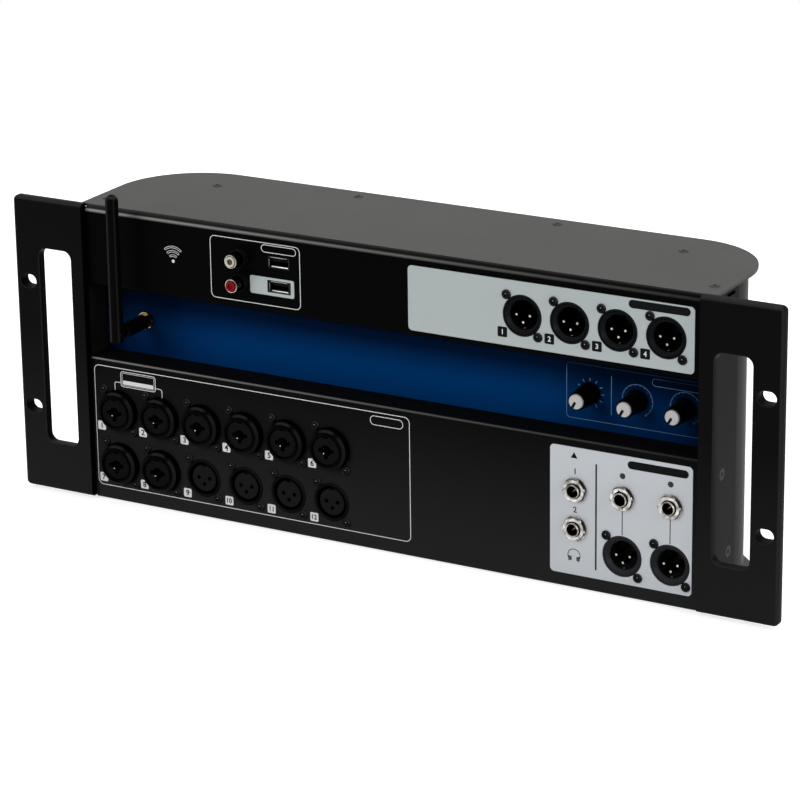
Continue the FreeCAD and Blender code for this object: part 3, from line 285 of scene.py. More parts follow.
# the stretch of the panel's top fold that catches the light, in millimetres below its top
fold = dict(top=nodeBox("front_panel")[1].z, start=1.25, full=1.95, fading=2.3, end=3.4)

# edge is a painted highlight on folded edges and rims, but painted shade on the cover screws; foot is the colour
# low down, a painted reflection of the floor
coats = dict(
    panelBlack=dict(dark=0.0007, pale=(0.0014, 0.0014, 0.0015), foot=(0.019, 0.0192, 0.02),
                    edge=(0.29, 0.29, 0.283), rough=0.4, grain=0.7, depth=0.03, shine=0.012, glow=Finish.foldHighlights),
    earBlack=dict(dark=(0.0018, 0.0018, 0.0019), pale=(0.0044, 0.0044, 0.0046), foot=(0.0135, 0.0135, 0.014),
                  edge=0.02, rough=0.4, grain=0.8, depth=0.05, shine=0.02,
                  inner=dict(colour=(0.0008, 0.0008, 0.0009), outer=239.5, back=-45.5)),
    coverGrey=dict(dark=(0.0172, 0.0168, 0.0148), pale=(0.0232, 0.0226, 0.02), foot=(0.02, 0.0195, 0.017),
                   edge=(0.03, 0.0295, 0.027), rough=0.46, grain=0.7, depth=0.03, shine=0.2),
    wallGrey=dict(dark=(0.0055, 0.0055, 0.0053), pale=(0.0085, 0.0085, 0.0082), foot=0.007,
                  edge=0.012, rough=0.44, grain=0.7, depth=0.03, shine=0.045),
    shellBlack=dict(dark=(0.0009, 0.0009, 0.001), pale=(0.0018, 0.0018, 0.002), foot=(0.0016, 0.0016, 0.0018),
                    edge=(0.05, 0.05, 0.052), rough=0.34, grain=0.35, depth=0.012, shine=0.025,
                    lit=(0.55, 0.75, -0.2)),
    rimBlack=dict(dark=(0.0045, 0.0045, 0.0047), pale=(0.0062, 0.0062, 0.0064), foot=(0.013, 0.013, 0.0135),
                  edge=(0.098, 0.098, 0.1), rough=0.34, grain=0.35, depth=0.012, shine=0.008,
                  flank=(0.001, 0.001, 0.0011), glow=Finish.shoulderHighlights),
    shellDark=dict(dark=(0.0012, 0.0013, 0.0016), pale=(0.0024, 0.0026, 0.003), foot=(0.002, 0.002, 0.0022),
                   edge=(0.012, 0.013, 0.014), rough=0.36, grain=0.35, depth=0.012, shine=0.025),
    shellMetal=dict(dark=(0.009, 0.0095, 0.0115), pale=(0.014, 0.0148, 0.0175), foot=(0.0125, 0.013, 0.0155),
                    edge=(0.03, 0.031, 0.035), rough=0.36, grain=0.35, depth=0.012, shine=0.04),
    screwBlack=dict(dark=(0.0014, 0.0014, 0.0015), pale=(0.0034, 0.0034, 0.0036), foot=(0.0024, 0.0024, 0.0026),
                    edge=(0.04, 0.04, 0.042), rough=0.26, grain=0.4, depth=0.008, shine=0.06,
                    lit=(0.4, 0.8, 0.0)),
    screwGrey=dict(dark=(0.013, 0.0127, 0.0113), pale=(0.02, 0.0195, 0.0175), foot=(0.015, 0.015, 0.014),
                   edge=(0.0022, 0.0022, 0.002), rough=0.42, grain=0.4, depth=0.01, shine=0.12),
)


def powderCoat(name, look):
    # the coat is a little paler near the foot, a painted reflection of the floor, and on folded edges and rims it
    # is smoother and carries painted highlights
    f = Finish(name)
    grain = f.noise(1 / (look["grain"] * mm), 3.0, 0.55)
    cloud = f.noise(14.0, 3.0)
    fleck = f.noise(1 / (0.25 * mm), 1.0).rise(0.64, 0.74)
    base = f.blend(look["dark"], look["pale"], (cloud * 0.5 + grain * 0.5 + fleck * 0.4).clip())
    # painted reflection of the floor, strongest at the foot
    base = f.blend(base, look["foot"], (1 - f.along("Z", 0, 100)) * (grain * 0.3 + 0.85))
    if "flank" in look:
        # the barrel and the top of its rim lie in shade
        across, upward = f.outward()
        opened = abs(f.slope("Y")).rise(0.3, 0.8) * (1 - upward.rise(0.7, 0.88))
        base = f.blend(look["flank"], base, opened * (across.rise(-1.0, 0.4) * 0.4 + 0.6))
    if "inner" in look:
        # the walls of an ear's openings lie in shade, its outer edge doesn't
        inner = look["inner"]
        outermost = (abs(f.axis("X")) / mm).rise(inner["outer"], inner["outer"] + 0.8)
        behind = f.along("Y", inner["back"], inner["back"] + 0.2)
        wall = abs(f.slope("X")).rise(0.5, 0.8) * (1 - outermost) * (1 - behind)
        base = f.blend(base, inner["colour"], wall)
    # painted highlights on folded edges and rims, painted shade on the cover screws' rims
    bendLighting = look["glow"](f) if "glow" in look else f.bendLighting(look.get("lit"))
    f.set(Base_Color=f.blend(base, look["edge"], bendLighting * (grain * 0.3 + 0.8)))
    f.set(Roughness=cloud * 0.09 + grain * 0.05 - bendLighting * 0.08 + (look["rough"] - 0.06))
    f.set(Specular_IOR_Level=look["shine"])
    return f.bump(grain, look["depth"], 0.6).material


plastics = dict(
    insertBlack=dict(dark=(0.0032, 0.0032, 0.0034), pale=(0.0054, 0.0054, 0.0057), rough=0.42, depth=0.006,
                     shine=0.02, far=(0.0024, 0.0024, 0.0026)),
    throatBlack=dict(dark=(0.0012, 0.0012, 0.0013), pale=(0.002, 0.002, 0.0022), rough=0.4, depth=0.006,
                     shine=0.01),
    throatBrown=dict(dark=(0.06, 0.05, 0.025), pale=(0.11, 0.09, 0.045), rough=0.4, depth=0.006, shine=0.1),
    insertGrey=dict(dark=(0.0066, 0.0066, 0.007), pale=(0.0095, 0.0095, 0.01), rough=0.42, depth=0.006, shine=0.02),
    mastBlack=dict(dark=0.0012, pale=0.0022, rough=0.34, depth=0.01, shine=0.012,
                   sheenHighlight=(0.022, 0.022, 0.025)),
    neckBlack=dict(dark=0.0008, pale=0.002, rough=0.3, depth=0.01, shine=0.015),
    knobBlack=dict(dark=(0.001, 0.001, 0.0011), pale=(0.0022, 0.0022, 0.0024), rough=0.28, depth=0.008, shine=0.03),
    capWhite=dict(dark=(0.43, 0.425, 0.415), pale=(0.53, 0.525, 0.515), rough=0.4, depth=0.006, shine=0.2),
    plasticCream=dict(dark=(0.5, 0.48, 0.38), pale=(0.6, 0.58, 0.47), rough=0.34, depth=0.005, shine=0.2),
    plasticRed=dict(dark=(0.17, 0.0008, 0.002), pale=(0.32, 0.001, 0.004), rough=0.3, depth=0.005, shine=0.1),
    throatRed=dict(dark=(0.09, 0.0008, 0.002), pale=(0.15, 0.001, 0.003), rough=0.3, depth=0.004, shine=0.1),
    rockerBlack=dict(dark=(0.004, 0.004, 0.0043), pale=(0.0065, 0.0065, 0.0068), rough=0.22, depth=0.004,
                     shine=0.5),
    boardGreen=dict(dark=(0.008, 0.07, 0.025), pale=(0.014, 0.11, 0.04), rough=0.35, depth=0.02, shine=0.5),
)


def mouldedPlastic(name, look):
    f = Finish(name)
    cloud = f.noise(90.0, 3.0)
    fine = f.noise(1 / (0.18 * mm), 2.0)
    base = f.blend(look["dark"], look["pale"], (cloud * 0.7 + fine * 0.3).clip())
    # painted shade: darker towards the left end
    if "far" in look:
        base = f.blend(look["far"], base, f.along("X", -200, -90))
    # painted highlights on the antenna's moulding
    if "sheenHighlight" in look:
        base = f.blend(base, look["sheenHighlight"], f.sheenHighlights())
    f.set(Base_Color=base)
    f.set(Roughness=cloud * 0.06 + fine * 0.05 + (look["rough"] - 0.05), Specular_IOR_Level=look["shine"])
    return f.bump(fine, look["depth"], 0.5).material


# deep is the painted shade in a piece's own corners; side is a painted reflection, the darker colour of faces
# turned away from the front
metals = dict(
    brightNickel=dict(deep=(0.02, 0.019, 0.018), dark=(0.2, 0.19, 0.18), pale=(0.6, 0.585, 0.56), rough=0.2,
                      scratch=0.06, reach=1.6, side=(0.035, 0.033, 0.03), front=(0.35, 0.85), cloud=330.0),
    bushNickel=dict(deep=(0.02, 0.019, 0.018), dark=(0.16, 0.15, 0.14), pale=(0.62, 0.605, 0.58), rough=0.2,
                    scratch=0.06, reach=1.2, side=(0.2, 0.19, 0.18), front=(0.35, 0.85), cloud=420.0),
    ringNickel=dict(deep=0.01, dark=(0.3, 0.3, 0.29), pale=(0.6, 0.6, 0.58), rough=0.22, scratch=0.06,
                    reach=1.0, side=0.002, front=(0.6, 0.9), cloud=400.0),
    pinSilver=dict(deep=(0.003, 0.0025, 0.002), dark=(0.34, 0.32, 0.28), pale=(0.5, 0.48, 0.43), rough=0.3,
                   scratch=0.04, reach=2.0, side=(0.002, 0.0015, 0.001), front=(0.8, 0.97)),
    tabCopper=dict(deep=(0.01, 0.005, 0.003), dark=(0.1, 0.07, 0.05), pale=(0.18, 0.13, 0.1), rough=0.4,
                   scratch=0.04, reach=2.0),
    # painted shade: the USB shells' steel, nearly black
    usbShadedSteel=dict(deep=0.003, dark=0.012, pale=0.02, rough=0.3,
                  scratch=0.06, reach=1.0),
    # a painted highlight: the USB springs' steel, near white
    brightHighlightSteel=dict(deep=0.2, dark=(0.72, 0.72, 0.71), pale=(0.9, 0.9, 0.89), rough=0.4, scratch=0.05,
                   reach=1.0),
    # small painted highlights, on the screw heads and the USB shells' edges
    dimHighlightSteel=dict(deep=0.04, dark=0.2, pale=0.32, rough=0.4, scratch=0.05,
                   reach=1.0),
    zincSteel=dict(deep=0.05, dark=0.38, pale=(0.5, 0.5, 0.49), rough=0.34,
                   scratch=0.08, reach=3.0),
    gold=dict(deep=(0.01, 0.005, 0.001), dark=(0.3, 0.16, 0.03), pale=(0.85, 0.66, 0.38), rough=0.22,
              scratch=0.05, reach=2.5, side=(0.09, 0.045, 0.01), front=(0.1, 0.5), cloud=500.0),
    # the antenna's coupling nut, dark gold all over
    darkGold=dict(deep=(0.004, 0.002, 0.001), dark=(0.03, 0.017, 0.006), pale=(0.11, 0.07, 0.028), rough=0.26,
                   scratch=0.06, reach=3.0),
    giltContact=dict(deep=(0.02, 0.016, 0.012), dark=(0.46, 0.42, 0.34), pale=(0.66, 0.62, 0.54), rough=0.24,
                     scratch=0.04, reach=4.0),
    caseAluminium=dict(deep=0.2, dark=(0.45, 0.46, 0.46), pale=(0.6, 0.61, 0.61), rough=0.4,
                       scratch=0.1, reach=3.0),
)


def plainMetal(name, look):
    f = Finish(name)
    cloud = f.noise(look.get("cloud", 160.0), 3.0)
    stretched = f.node("Mapping", values={"Vector": f.place, "Scale": (1.0, 14.0, 1.0)})
    scratch = f.noise(420.0, 3.0, 0.6, stretched)
    base = f.blend(look["dark"], look["pale"], cloud.rise(0.35, 0.62))
    # painted reflection: faces turned away from the front are darker
    if "side" in look:
        base = f.blend(look["side"], base, abs(f.slope("Y")).rise(*look["front"]))
    # painted shade: the deep colour in the piece's own corners
    f.set(Base_Color=f.blend(look["deep"], base, f.creviceShade(look["reach"]).rise(0.3, 0.85)), Metallic=1.0)
    f.set(Roughness=look["rough"] + (scratch - 0.5) * look["scratch"] * 2 + cloud * 0.04)
    return f.bump(scratch, 0.004, 0.4).material


silver = dict(dark=(0.44, 0.468, 0.495), pale=(0.505, 0.525, 0.55), high=(0.347, 0.39, 0.39), rough=0.5)


def silverPrint():
    f = Finish("silverPrint")
    flake = f.noise(1 / (0.12 * mm), 1.0, 0.5)
    cloud = f.noise(25.0, 2.0)
    base = f.blend(silver["dark"], silver["pale"], (flake * 0.5 + cloud * 0.5).clip())
    # painted reflection of the floor: the print is darker higher up
    f.set(Base_Color=f.blend(base, silver["high"], f.along("Z", 80, 135) * 0.9))
    f.set(Roughness=silver["rough"] - 0.08 + flake * 0.16, Metallic=0.25)
    return f.bump(flake, 0.004, 0.35).material


blue = dict(deep=(0.0001, 0.0010, 0.0036), full=(0.0002, 0.0305, 0.127), top=(104, 119),
            left=(-208, -112), middle=(92, 125), right=(160, 190))


def blueFilm():
    # the film's colour is strongest low in the middle, and darkens towards the top and both ends, painted shade in
    # the recess
    f = Finish("blueFilm")
    fade = 1 - f.along("Z", *blue["top"]) * 0.78
    ends = f.along("X", *blue["left"]) * (1 - f.along("X", *blue["middle"]) * 0.4)
    ends = ends * (1 - f.along("X", *blue["right"]) * 0.7)
    cloud = f.noise(9.0, 2.0)
    strength = (fade * ends + (cloud - 0.5) * 0.12).clip()
    f.set(Base_Color=f.blend(blue["deep"], blue["full"], strength))
    dust = f.noise(1 / (0.3 * mm), 2.0)
    f.set(Roughness=dust * 0.1 + cloud * 0.05 + 0.2, Specular_IOR_Level=0.004)
    return f.bump(dust, 0.003, 0.3).material


inks = dict(
    inkWhite=dict(colour=(0.74, 0.75, 0.75), rough=0.5, shine=0.2),
    inkBlack=dict(colour=(0.0055, 0.006, 0.007), rough=0.45, shine=0.03),
    inkPale=dict(colour=(0.095, 0.2, 0.36), rough=0.4, shine=0.03,
                 top=(117.5, 122.5), right=(160, 188)),
    inkGrey=dict(colour=(0.022, 0.026, 0.03), rough=0.5, shine=0.05),
)


def screenInk(name, look):
    f = Finish(name)
    mottle = f.noise(1 / (0.3 * mm), 3.0)
    thin = tuple(channel * 0.86 for channel in look["colour"])
    base = f.blend(thin, look["colour"], mottle.rise(0.3, 0.6))
    if "top" in look:
        # painted shade: fades to the film's darkest blue towards the top and the right end, as the film behind it
        # does
        far = f.along("Z", *look["top"]) * 0.85 + f.along("X", *look["right"]) * 0.75
        base = f.blend(base, blue["deep"], far.clip(0.0, 0.9))
    f.set(Base_Color=base)
    f.set(Roughness=look["rough"] - 0.05 + mottle * 0.1, Specular_IOR_Level=look["shine"])
    return f.bump(mottle, 0.003, 0.3).material


def lightLens():
    f = Finish("lightLens")
    cloud = f.noise(700.0, 2.0)
    f.set(Base_Color=f.blend((0.010, 0.018, 0.018), (0.03, 0.045, 0.043), cloud))
    f.set(Roughness=0.12 + cloud * 0.1, Specular_IOR_Level=0.15)
    return f.material


finishes = {name: powderCoat(name, look) for name, look in coats.items()}
finishes.update({name: mouldedPlastic(name, look) for name, look in plastics.items()})
finishes.update({name: plainMetal(name, look) for name, look in metals.items()})
finishes.update({name: screenInk(name, look) for name, look in inks.items()})
finishes["silverPrint"] = silverPrint()
finishes["blueFilm"] = blueFilm()
finishes["lightLens"] = lightLens()
print("finishes made")


# Mesh helpers.

weld = 0.002


def keep(bm, name, finish, body="case", replaces=(), smooth=32):
    # turns a bmesh in millimetres into a finished piece
    bmesh.ops.remove_doubles(bm, verts=bm.verts, dist=weld)
    bmesh.ops.recalc_face_normals(bm, faces=bm.faces)
    bmesh.ops.scale(bm, vec=(mm, mm, mm), verts=bm.verts)
    settle(bm, name, finish, body, replaces, smooth)


def settle(bm, name, finish, body, replaces, smooth=32):
    # smooth is the angle from which an edge is sharp
    for face in bm.faces:
        face.smooth = True
    for edge in bm.edges:
        if len(edge.link_faces) != 2 or edge.calc_face_angle(0) > math.radians(smooth):
            edge.smooth = False
    piece = addObject(name, bm)
    piece.data.materials.append(finishes[finish])
    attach(piece, body)
    if replaces:
        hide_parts(*replaces)


def addObject(name, bm):
    mesh = bpy.data.meshes.new(name)
    bm.to_mesh(mesh)
    bm.free()
    piece = bpy.data.objects.new(name, mesh)
    scene.collection.objects.link(piece)
    return piece


def wear(node, finish, body="case", shape=None):
    # a merged, smooth-shaded copy of a CAD node in its finish, shaped a little further where asked
    bm = bmesh.new()
    bm.from_mesh(frame["nodes"][node].data)
    bmesh.ops.remove_doubles(bm, verts=bm.verts, dist=weld * mm)
    if shape:
        bmesh.ops.scale(bm, vec=(1 / mm, 1 / mm, 1 / mm), verts=bm.verts)
        shape(bm)
        bmesh.ops.scale(bm, vec=(mm, mm, mm), verts=bm.verts)
    settle(bm, node + "_dressed", finish, body, (node,))


def paint(node, finish):
    # a CAD node that stays gets its finish
    mesh = frame["nodes"][node].data
    mesh.materials.clear()
    mesh.materials.append(finishes[finish])


def slide(bm, verts, x=0.0, y=0.0, z=0.0):
    bmesh.ops.translate(bm, vec=(x, y, z), verts=verts)


def pushOut(bm, faces, thick):
    # makes flat faces thick, towards the front
    made = bmesh.ops.extrude_face_region(bm, geom=faces)["geom"]
    slide(bm, [v for v in made if isinstance(v, bmesh.types.BMVert)], y=-thick)


def lathe(bm, profile, x, z, steps=48):
    # spins a (radius, y) profile about the line parallel to Y at x, z
    verts = [bm.verts.new((x + r, y, z)) for r, y in profile]
    edges = [bm.edges.new(pair) for pair in zip(verts, verts[1:])]
    bmesh.ops.spin(bm, geom=verts + edges, cent=(x, 0, z), axis=(0, 1, 0), dvec=(0, 0, 0), angle=math.tau,
                   steps=steps, use_merge=True, use_duplicate=False)


def plate(bm, outline, y, thick):
    # a flat shape in the X-Z plane, from its outline, standing proud of y towards the front
    pushOut(bm, [bm.faces.new([bm.verts.new((x, y, z)) for x, z in outline])], thick)


def roundBox(x0, x1, z0, z1, radius, steps=8):
    points = []
    for cx, cz, start in ((x1 - radius, z1 - radius, 0), (x0 + radius, z1 - radius, 90),
                          (x0 + radius, z0 + radius, 180), (x1 - radius, z0 + radius, 270)):
        for i in range(steps + 1):
            turn = math.radians(start + 90 * i / steps)
            points.append((cx + radius * math.cos(turn), cz + radius * math.sin(turn)))
    return points


def ring(bm, outline, inner, y, thick):
    # a flat line between two outlines with the same count of points
    edges = []
    for points in (outline, inner):
        verts = [bm.verts.new((x, y, z)) for x, z in points]
        edges += [bm.edges.new(pair) for pair in zip(verts, verts[1:] + verts[:1])]
    pushOut(bm, bmesh.ops.bridge_loops(bm, edges=edges)["faces"], thick)


def frameLine(bm, x0, x1, z0, z1, radius, width, y, thick):
    half = width / 2
    ring(bm, roundBox(x0 - half, x1 + half, z0 - half, z1 + half, radius + half),
         roundBox(x0 + half, x1 - half, z0 + half, z1 - half, radius - half), y, thick)


def bar(bm, x0, x1, z0, z1, y, thick):
    plate(bm, [(x0, z0), (x1, z0), (x1, z1), (x0, z1)], y, thick)


def arcLine(bm, x, z, radius, width, start, end, y, thick, steps=40):
    # angles in degrees from +X towards +Z
    turns = [math.radians(start + (end - start) * i / steps) for i in range(steps + 1)]
    outer, inner = ([(x + r * math.cos(t), z + r * math.sin(t)) for t in turns]
                    for r in (radius + width / 2, radius - width / 2))
    plate(bm, outer + inner[::-1], y, thick)


def disc(bm, x, z, radius, y, thick, steps=28):
    turns = [math.tau * i / steps for i in range(steps)]
    plate(bm, [(x + radius * math.cos(t), z + radius * math.sin(t)) for t in turns], y, thick)


def spoke(bm, x, z, degrees, outline, y, thick):
    # a small shape along a radius, from its (distance out, distance aside) outline
    c, s = math.cos(math.radians(degrees)), math.sin(math.radians(degrees))
    plate(bm, [(x + out * c - aside * s, z + out * s + aside * c) for out, aside in outline], y, thick)


def meshOf(holder):
    # the evaluated mesh of a helper object, which is taken away
    bpy.context.view_layer.update()
    graph = bpy.context.evaluated_depsgraph_get()
    mesh = bpy.data.meshes.new_from_object(holder.evaluated_get(graph))
    bpy.data.objects.remove(holder)
    return mesh


def figure(bm, words, size, x, z, y, thick):
    # a number as a thin raised print, centred on x, z
    curve = bpy.data.curves.new("figure", "FONT")
    curve.body = words
    curve.size = size
    curve.align_x = "CENTER"
    curve.align_y = "CENTER"
    curve.offset = size * 0.022
    curve.extrude = thick / 2
    holder = bpy.data.objects.new("figure", curve)
    scene.collection.objects.link(holder)
    mesh = meshOf(holder)
    xs = [v.co.x for v in mesh.vertices]
    ys = [v.co.y for v in mesh.vertices]
    shift = Matrix.Translation((-(min(xs) + max(xs)) / 2, -(min(ys) + max(ys)) / 2, 0))
    stand = Matrix.Translation((x, y - thick / 2, z)) @ Euler((math.pi / 2, 0, 0)).to_matrix().to_4x4()
    mesh.transform(stand @ shift)
    bm.from_mesh(mesh)
    bpy.data.curves.remove(curve)
    bpy.data.meshes.remove(mesh)


# Where things are.

outputs = dict(aux=87.7, auxHigh=151.4, master=148.1, phones=119.7, jackHigh=57.5, jackLow=35.5)
panelY = nodeBox("rec_label")[1].y
labelY = nodeBox("rec_label")[0].y
filmY = nodeBox("blue_fascia")[0].y
comboPlaces = [(inputs["x"] + pitch * i, inputs["high"]) for i in range(inputs["columns"])]
comboPlaces += [(inputs["x"] + pitch * i, inputs["low"]) for i in range(inputs["combosLow"])]
micPlaces = [(inputs["x"] + pitch * i, inputs["low"]) for i in range(inputs["combosLow"], inputs["columns"])]
auxPlaces = [(outputs["aux"] + pitch * i, outputs["auxHigh"]) for i in range(4)]
masterPlaces = [(outputs["master"] + pitch * i, inputs["low"]) for i in range(2)]
jackPlaces = [(outputs["phones"], outputs["jackHigh"]), (outputs["phones"], outputs["jackLow"])]
jackPlaces += [(outputs["master"] + pitch * i, outputs["jackHigh"]) for i in range(2)]
linePlaces = [nodeAxis("line_in_core_left"), nodeAxis("line_in_core_right")]
knobX = dict(phones=119.7, mix_left=148.1, mix_right=176.5)
knobZ = 107.5
lowest = 240  # direction of a knob's lowest setting, in degrees from +X towards +Z


# The CAD pieces in their finishes.

dressed = [
    ("front_panel", "panelBlack", "black_panel"), ("blue_fascia", "blueFilm", "blue_print"),
    ("aux_label", "silverPrint", "silver_print"), ("master_label", "silverPrint", "silver_print"),
    ("top_cover", "coverGrey", "grey_cover"),
    ("bottom_cover", "coverGrey", "grey_cover"), ("chassis_wall", "wallGrey", "grey_wall"),
    ("left_ear", "earBlack", "black_ear"), ("right_ear", "earBlack", "black_ear"),
    ("combo_sockets", "rimBlack", "black_shell"), ("combo_inserts", "insertBlack", "black_insert"),
    ("mic_sockets", "shellBlack", "black_shell"), ("mic_inserts", "insertGrey", "black_insert"),
    ("aux_output_sockets", "shellDark", "black_shell"), ("master_output_sockets", "shellMetal", "black_shell"),
    ("output_pins", "pinSilver", "gilt_contact"), ("jack_bushes", "bushNickel", "chrome_trim"),
    ("status_lights", "lightLens", "light_lens"),
    ("line_in_body", "insertBlack", "black_insert"), ("line_in_rings", "ringNickel", "chrome_trim"),
    ("line_in_core_left", "plasticCream", "white_plastic"), ("line_in_core_right", "plasticRed", "red_plastic"),
    ("usb_shells", "usbShadedSteel", "chrome_trim"), ("usb_tongues", "insertBlack", "white_plastic"),
    ("antenna_jack", "gold", "gilt_trim"), ("antenna_coupling_nut", "darkGold", "gilt_trim"),
    ("power_inlet", "insertBlack", "black_insert"), ("inlet_blades", "giltContact", "gilt_contact"),
    ("switch_frame", "insertBlack", "black_insert"), ("network_jack", "zincSteel", "chrome_trim"),
    ("corner_pillars", "zincSteel", "plated_steel"), ("volume_pots", "zincSteel", "plated_steel"),
]
touches = dict(
    pins=dict(forward=1.4, grow=1.06), film=dict(low=0.65, foot=0.2),
    neck=dict(start=-56.6, end=-35.0, core=3.07, grow=1.09), inserts=dict(forward=2.1),
    shells=dict(forward=0.8, rim=10.6, grow=0.96), fold=dict(bend=2.63, grow=1.6),
    bushes=dict(core=3.9, grow=0.87), rings=dict(grow=0.88), mics=dict(grow=0.95),
    cores=dict(forward=1.2, grow=0.75, bore=2.1, boreGrow=1.5), caps=dict(forward=1.0, grow=0.89),
    seat=dict(forward=0.8, aside=0.6, grow=0.96),
)


def fromAxis(v, places):
    return min(math.hypot(v.co.x - x, v.co.z - z) for x, z in places)


def drawIn(verts, places, factor):
    # scales points towards the nearest of the axes along Y at the given places
    for v in verts:
        x, z = min(places, key=lambda place: fromAxis(v, [place]))
        v.co.x = x + (v.co.x - x) * factor
        v.co.z = z + (v.co.z - z) * factor


def ahead(bm, y):
    return [v for v in bm.verts if v.co.y < y]


def pinsForward(bm):
    middle = sum(v.co.y for v in bm.verts) / len(bm.verts)
    slide(bm, ahead(bm, middle), y=-touches["pins"]["forward"])
    drawIn(bm.verts, auxPlaces + masterPlaces, touches["pins"]["grow"])


def insertsForward(bm):
    slide(bm, ahead(bm, panelY - 1), y=-touches["inserts"]["forward"])


def shellsForward(bm):
    look = touches["shells"]
    proud = ahead(bm, panelY - 1)
    slide(bm, proud, y=-look["forward"])
    drawIn([v for v in proud if fromAxis(v, comboPlaces) > look["rim"]], comboPlaces, look["grow"])


def micsSmaller(bm):
    drawIn(bm.verts, micPlaces, touches["mics"]["grow"])


def seatSmaller(bm):
    # the antenna's gilt washer and nut, a little smaller and further out
    look = touches["seat"]
    drawIn(bm.verts, [nodeAxis("antenna_jack")], look["grow"])
    slide(bm, ahead(bm, filmY + 0.05), x=-look["aside"], y=-look["forward"])


def foldTaller(bm):
    # the top fold rolls over further down the front
    look = touches["fold"]
    top = max(v.co.z for v in bm.verts)
    front = min(v.co.y for v in bm.verts)
    for v in bm.verts:
        if v.co.z > top - look["bend"] and v.co.y < front + look["bend"]:
            v.co.z = top - (top - v.co.z) * look["grow"]


def bushesThinner(bm):
    look = touches["bushes"]
    drawIn([v for v in bm.verts if fromAxis(v, jackPlaces) > look["core"]], jackPlaces, look["grow"])


def ringsSmaller(bm):
    drawIn(bm.verts, linePlaces, touches["rings"]["grow"])


def coresForward(bm):
    look = touches["cores"]
    bore = [v for v in bm.verts if fromAxis(v, linePlaces) < look["bore"]]
    drawIn(bore, linePlaces, look["boreGrow"])
    drawIn(bm.verts, linePlaces, look["grow"])
    slide(bm, bm.verts, y=-look["forward"])


def capsForward(bm):
    drawIn(bm.verts, [(x, knobZ) for x in knobX.values()], touches["caps"]["grow"])
    slide(bm, bm.verts, y=-touches["caps"]["forward"])


def filmDown(bm):
    # the film tucks down into the shelf's fold
    low = min(v.co.z for v in bm.verts)
    foot = [v for v in bm.verts if v.co.z < low + touches["film"]["foot"]]
    slide(bm, foot, z=-touches["film"]["low"])


def neckThicker(bm):
    look = touches["neck"]
    place = [nodeAxis("antenna_jack")]
    neck = [v for v in bm.verts if look["start"] < v.co.y < look["end"] and fromAxis(v, place) > look["core"]]
    drawIn(neck, place, look["grow"])


shaping = dict(output_pins=pinsForward, blue_fascia=filmDown, combo_inserts=insertsForward,
               combo_sockets=shellsForward, front_panel=foldTaller, jack_bushes=bushesThinner,
               line_in_rings=ringsSmaller, line_in_core_left=coresForward, line_in_core_right=coresForward,
               mic_inserts=micsSmaller, antenna_jack=seatSmaller)
for node, finish, slot in dressed:
    wear(node, finish, shape=shaping.get(node))
wear("antenna_swivel", "neckBlack", "antenna_turret", shape=neckThicker)
wear("antenna_arm", "mastBlack", "antenna_mast")
wear("power_rocker", "rockerBlack", "power_switch")
for name in knobX:
    body = name + "_control"
    wear(name + "_knob", "knobBlack", body)
    wear(name + "_knob_cap", "capWhite", body, shape=capsForward)
    paint(name + "_shaft", "zincSteel")
for node, finish in dict(antenna_pin="screwBlack", jack_bodies="insertBlack", main_board="boardGreen",
                         board_spacers="zincSteel", power_supply="caseAluminium", cover_screws="screwGrey",
                         ear_screws="screwBlack", connector_screws="screwBlack", inlet_screws="screwBlack").items():
    paint(node, finish)
print("CAD pieces dressed")


# Prints.

ink = dict(proud=0.04, tagHalf=2.65, auxTagHalf=2.9, tagCorner=0.8, inset=0.03, large=4.6, small=4.0)

# frames as left, right, low, high, corner and line: the inputs and their title, the media sockets
# and their title, and the double frame over the first two inputs
whiteFrames = ((-191.8, 17.2, 9.0, 82.2, 3.2, 0.42), (-7.6, 13.0, 74.8, 80.0, 2.4, 0.4),
               (-109.6, -51.2, 134.7, 170.7, 3.0, 0.42), (-75.9, -53.7, 165.4, 169.6, 2.0, 0.38),
               (-173.6, -150.0, 71.4, 80.5, 1.5, 0.4), (-172.7, -150.9, 72.3, 79.6, 0.9, 0.22))
bracket = dict(legs=((-173.8, -177.9), (-149.8, -145.6)), high=73.6, low=68.6, corner=1.4, line=0.42,
               bar=(-172.2, -151.4, 72.8, 75.2, 0.5, 5))
signal = dict(x=-134.7, z=151.9, radii=(3.3, 5.8, 8.3), half=0.5, line=0.28, start=50, end=130, dot=1.0)


def tag(bm, x, z, half, y):
    plate(bm, roundBox(x - half, x + half, z - half, z + half, ink["tagCorner"], 5), y, ink["proud"])


def whitePrints():
    bm = bmesh.new()
    y, t = panelY, ink["proud"]
    for shape in whiteFrames:
        frameLine(bm, *shape, y, t)
    plate(bm, roundBox(*bracket["bar"]), y, t)
    for inner, outer in bracket["legs"]:
        plate(bm, bracketLeg(inner, outer), y, t)
    # signal arcs over a dot, for the antenna
    s = signal
    for radius in s["radii"]:
        for edge in (-s["half"], s["half"]):
            arcLine(bm, s["x"], s["z"], radius + edge, s["line"], s["start"], s["end"], y, t, 24)
        cap = 9 / radius
        for side in (s["start"], s["end"]):
            arcLine(bm, s["x"], s["z"], radius, 2 * s["half"], side - cap, side + cap, y, t, 2)
    disc(bm, s["x"], s["z"], s["dot"], y, t)
    for x, z in inputTags():
        tag(bm, x, z, ink["tagHalf"], y)
    keep(bm, "white_prints", "inkWhite")


def bracketLeg(inner, outer):
    # outline of a line that runs outwards and turns down round a small corner
    side = 1 if outer > inner else -1
    half, corner, high = bracket["line"] / 2, bracket["corner"], bracket["high"]
    turns = [math.radians(15 * i) for i in range(7)]
    over, under = ([(outer + side * (radius * math.sin(t) - corner), high - corner + radius * math.cos(t))
                    for t in turns] for radius in (corner + half, corner - half))
    ends = [(outer + side * half, bracket["low"]), (outer - side * half, bracket["low"])]
    return [(inner, high + half)] + over + ends + under[::-1] + [(inner, high - half)]


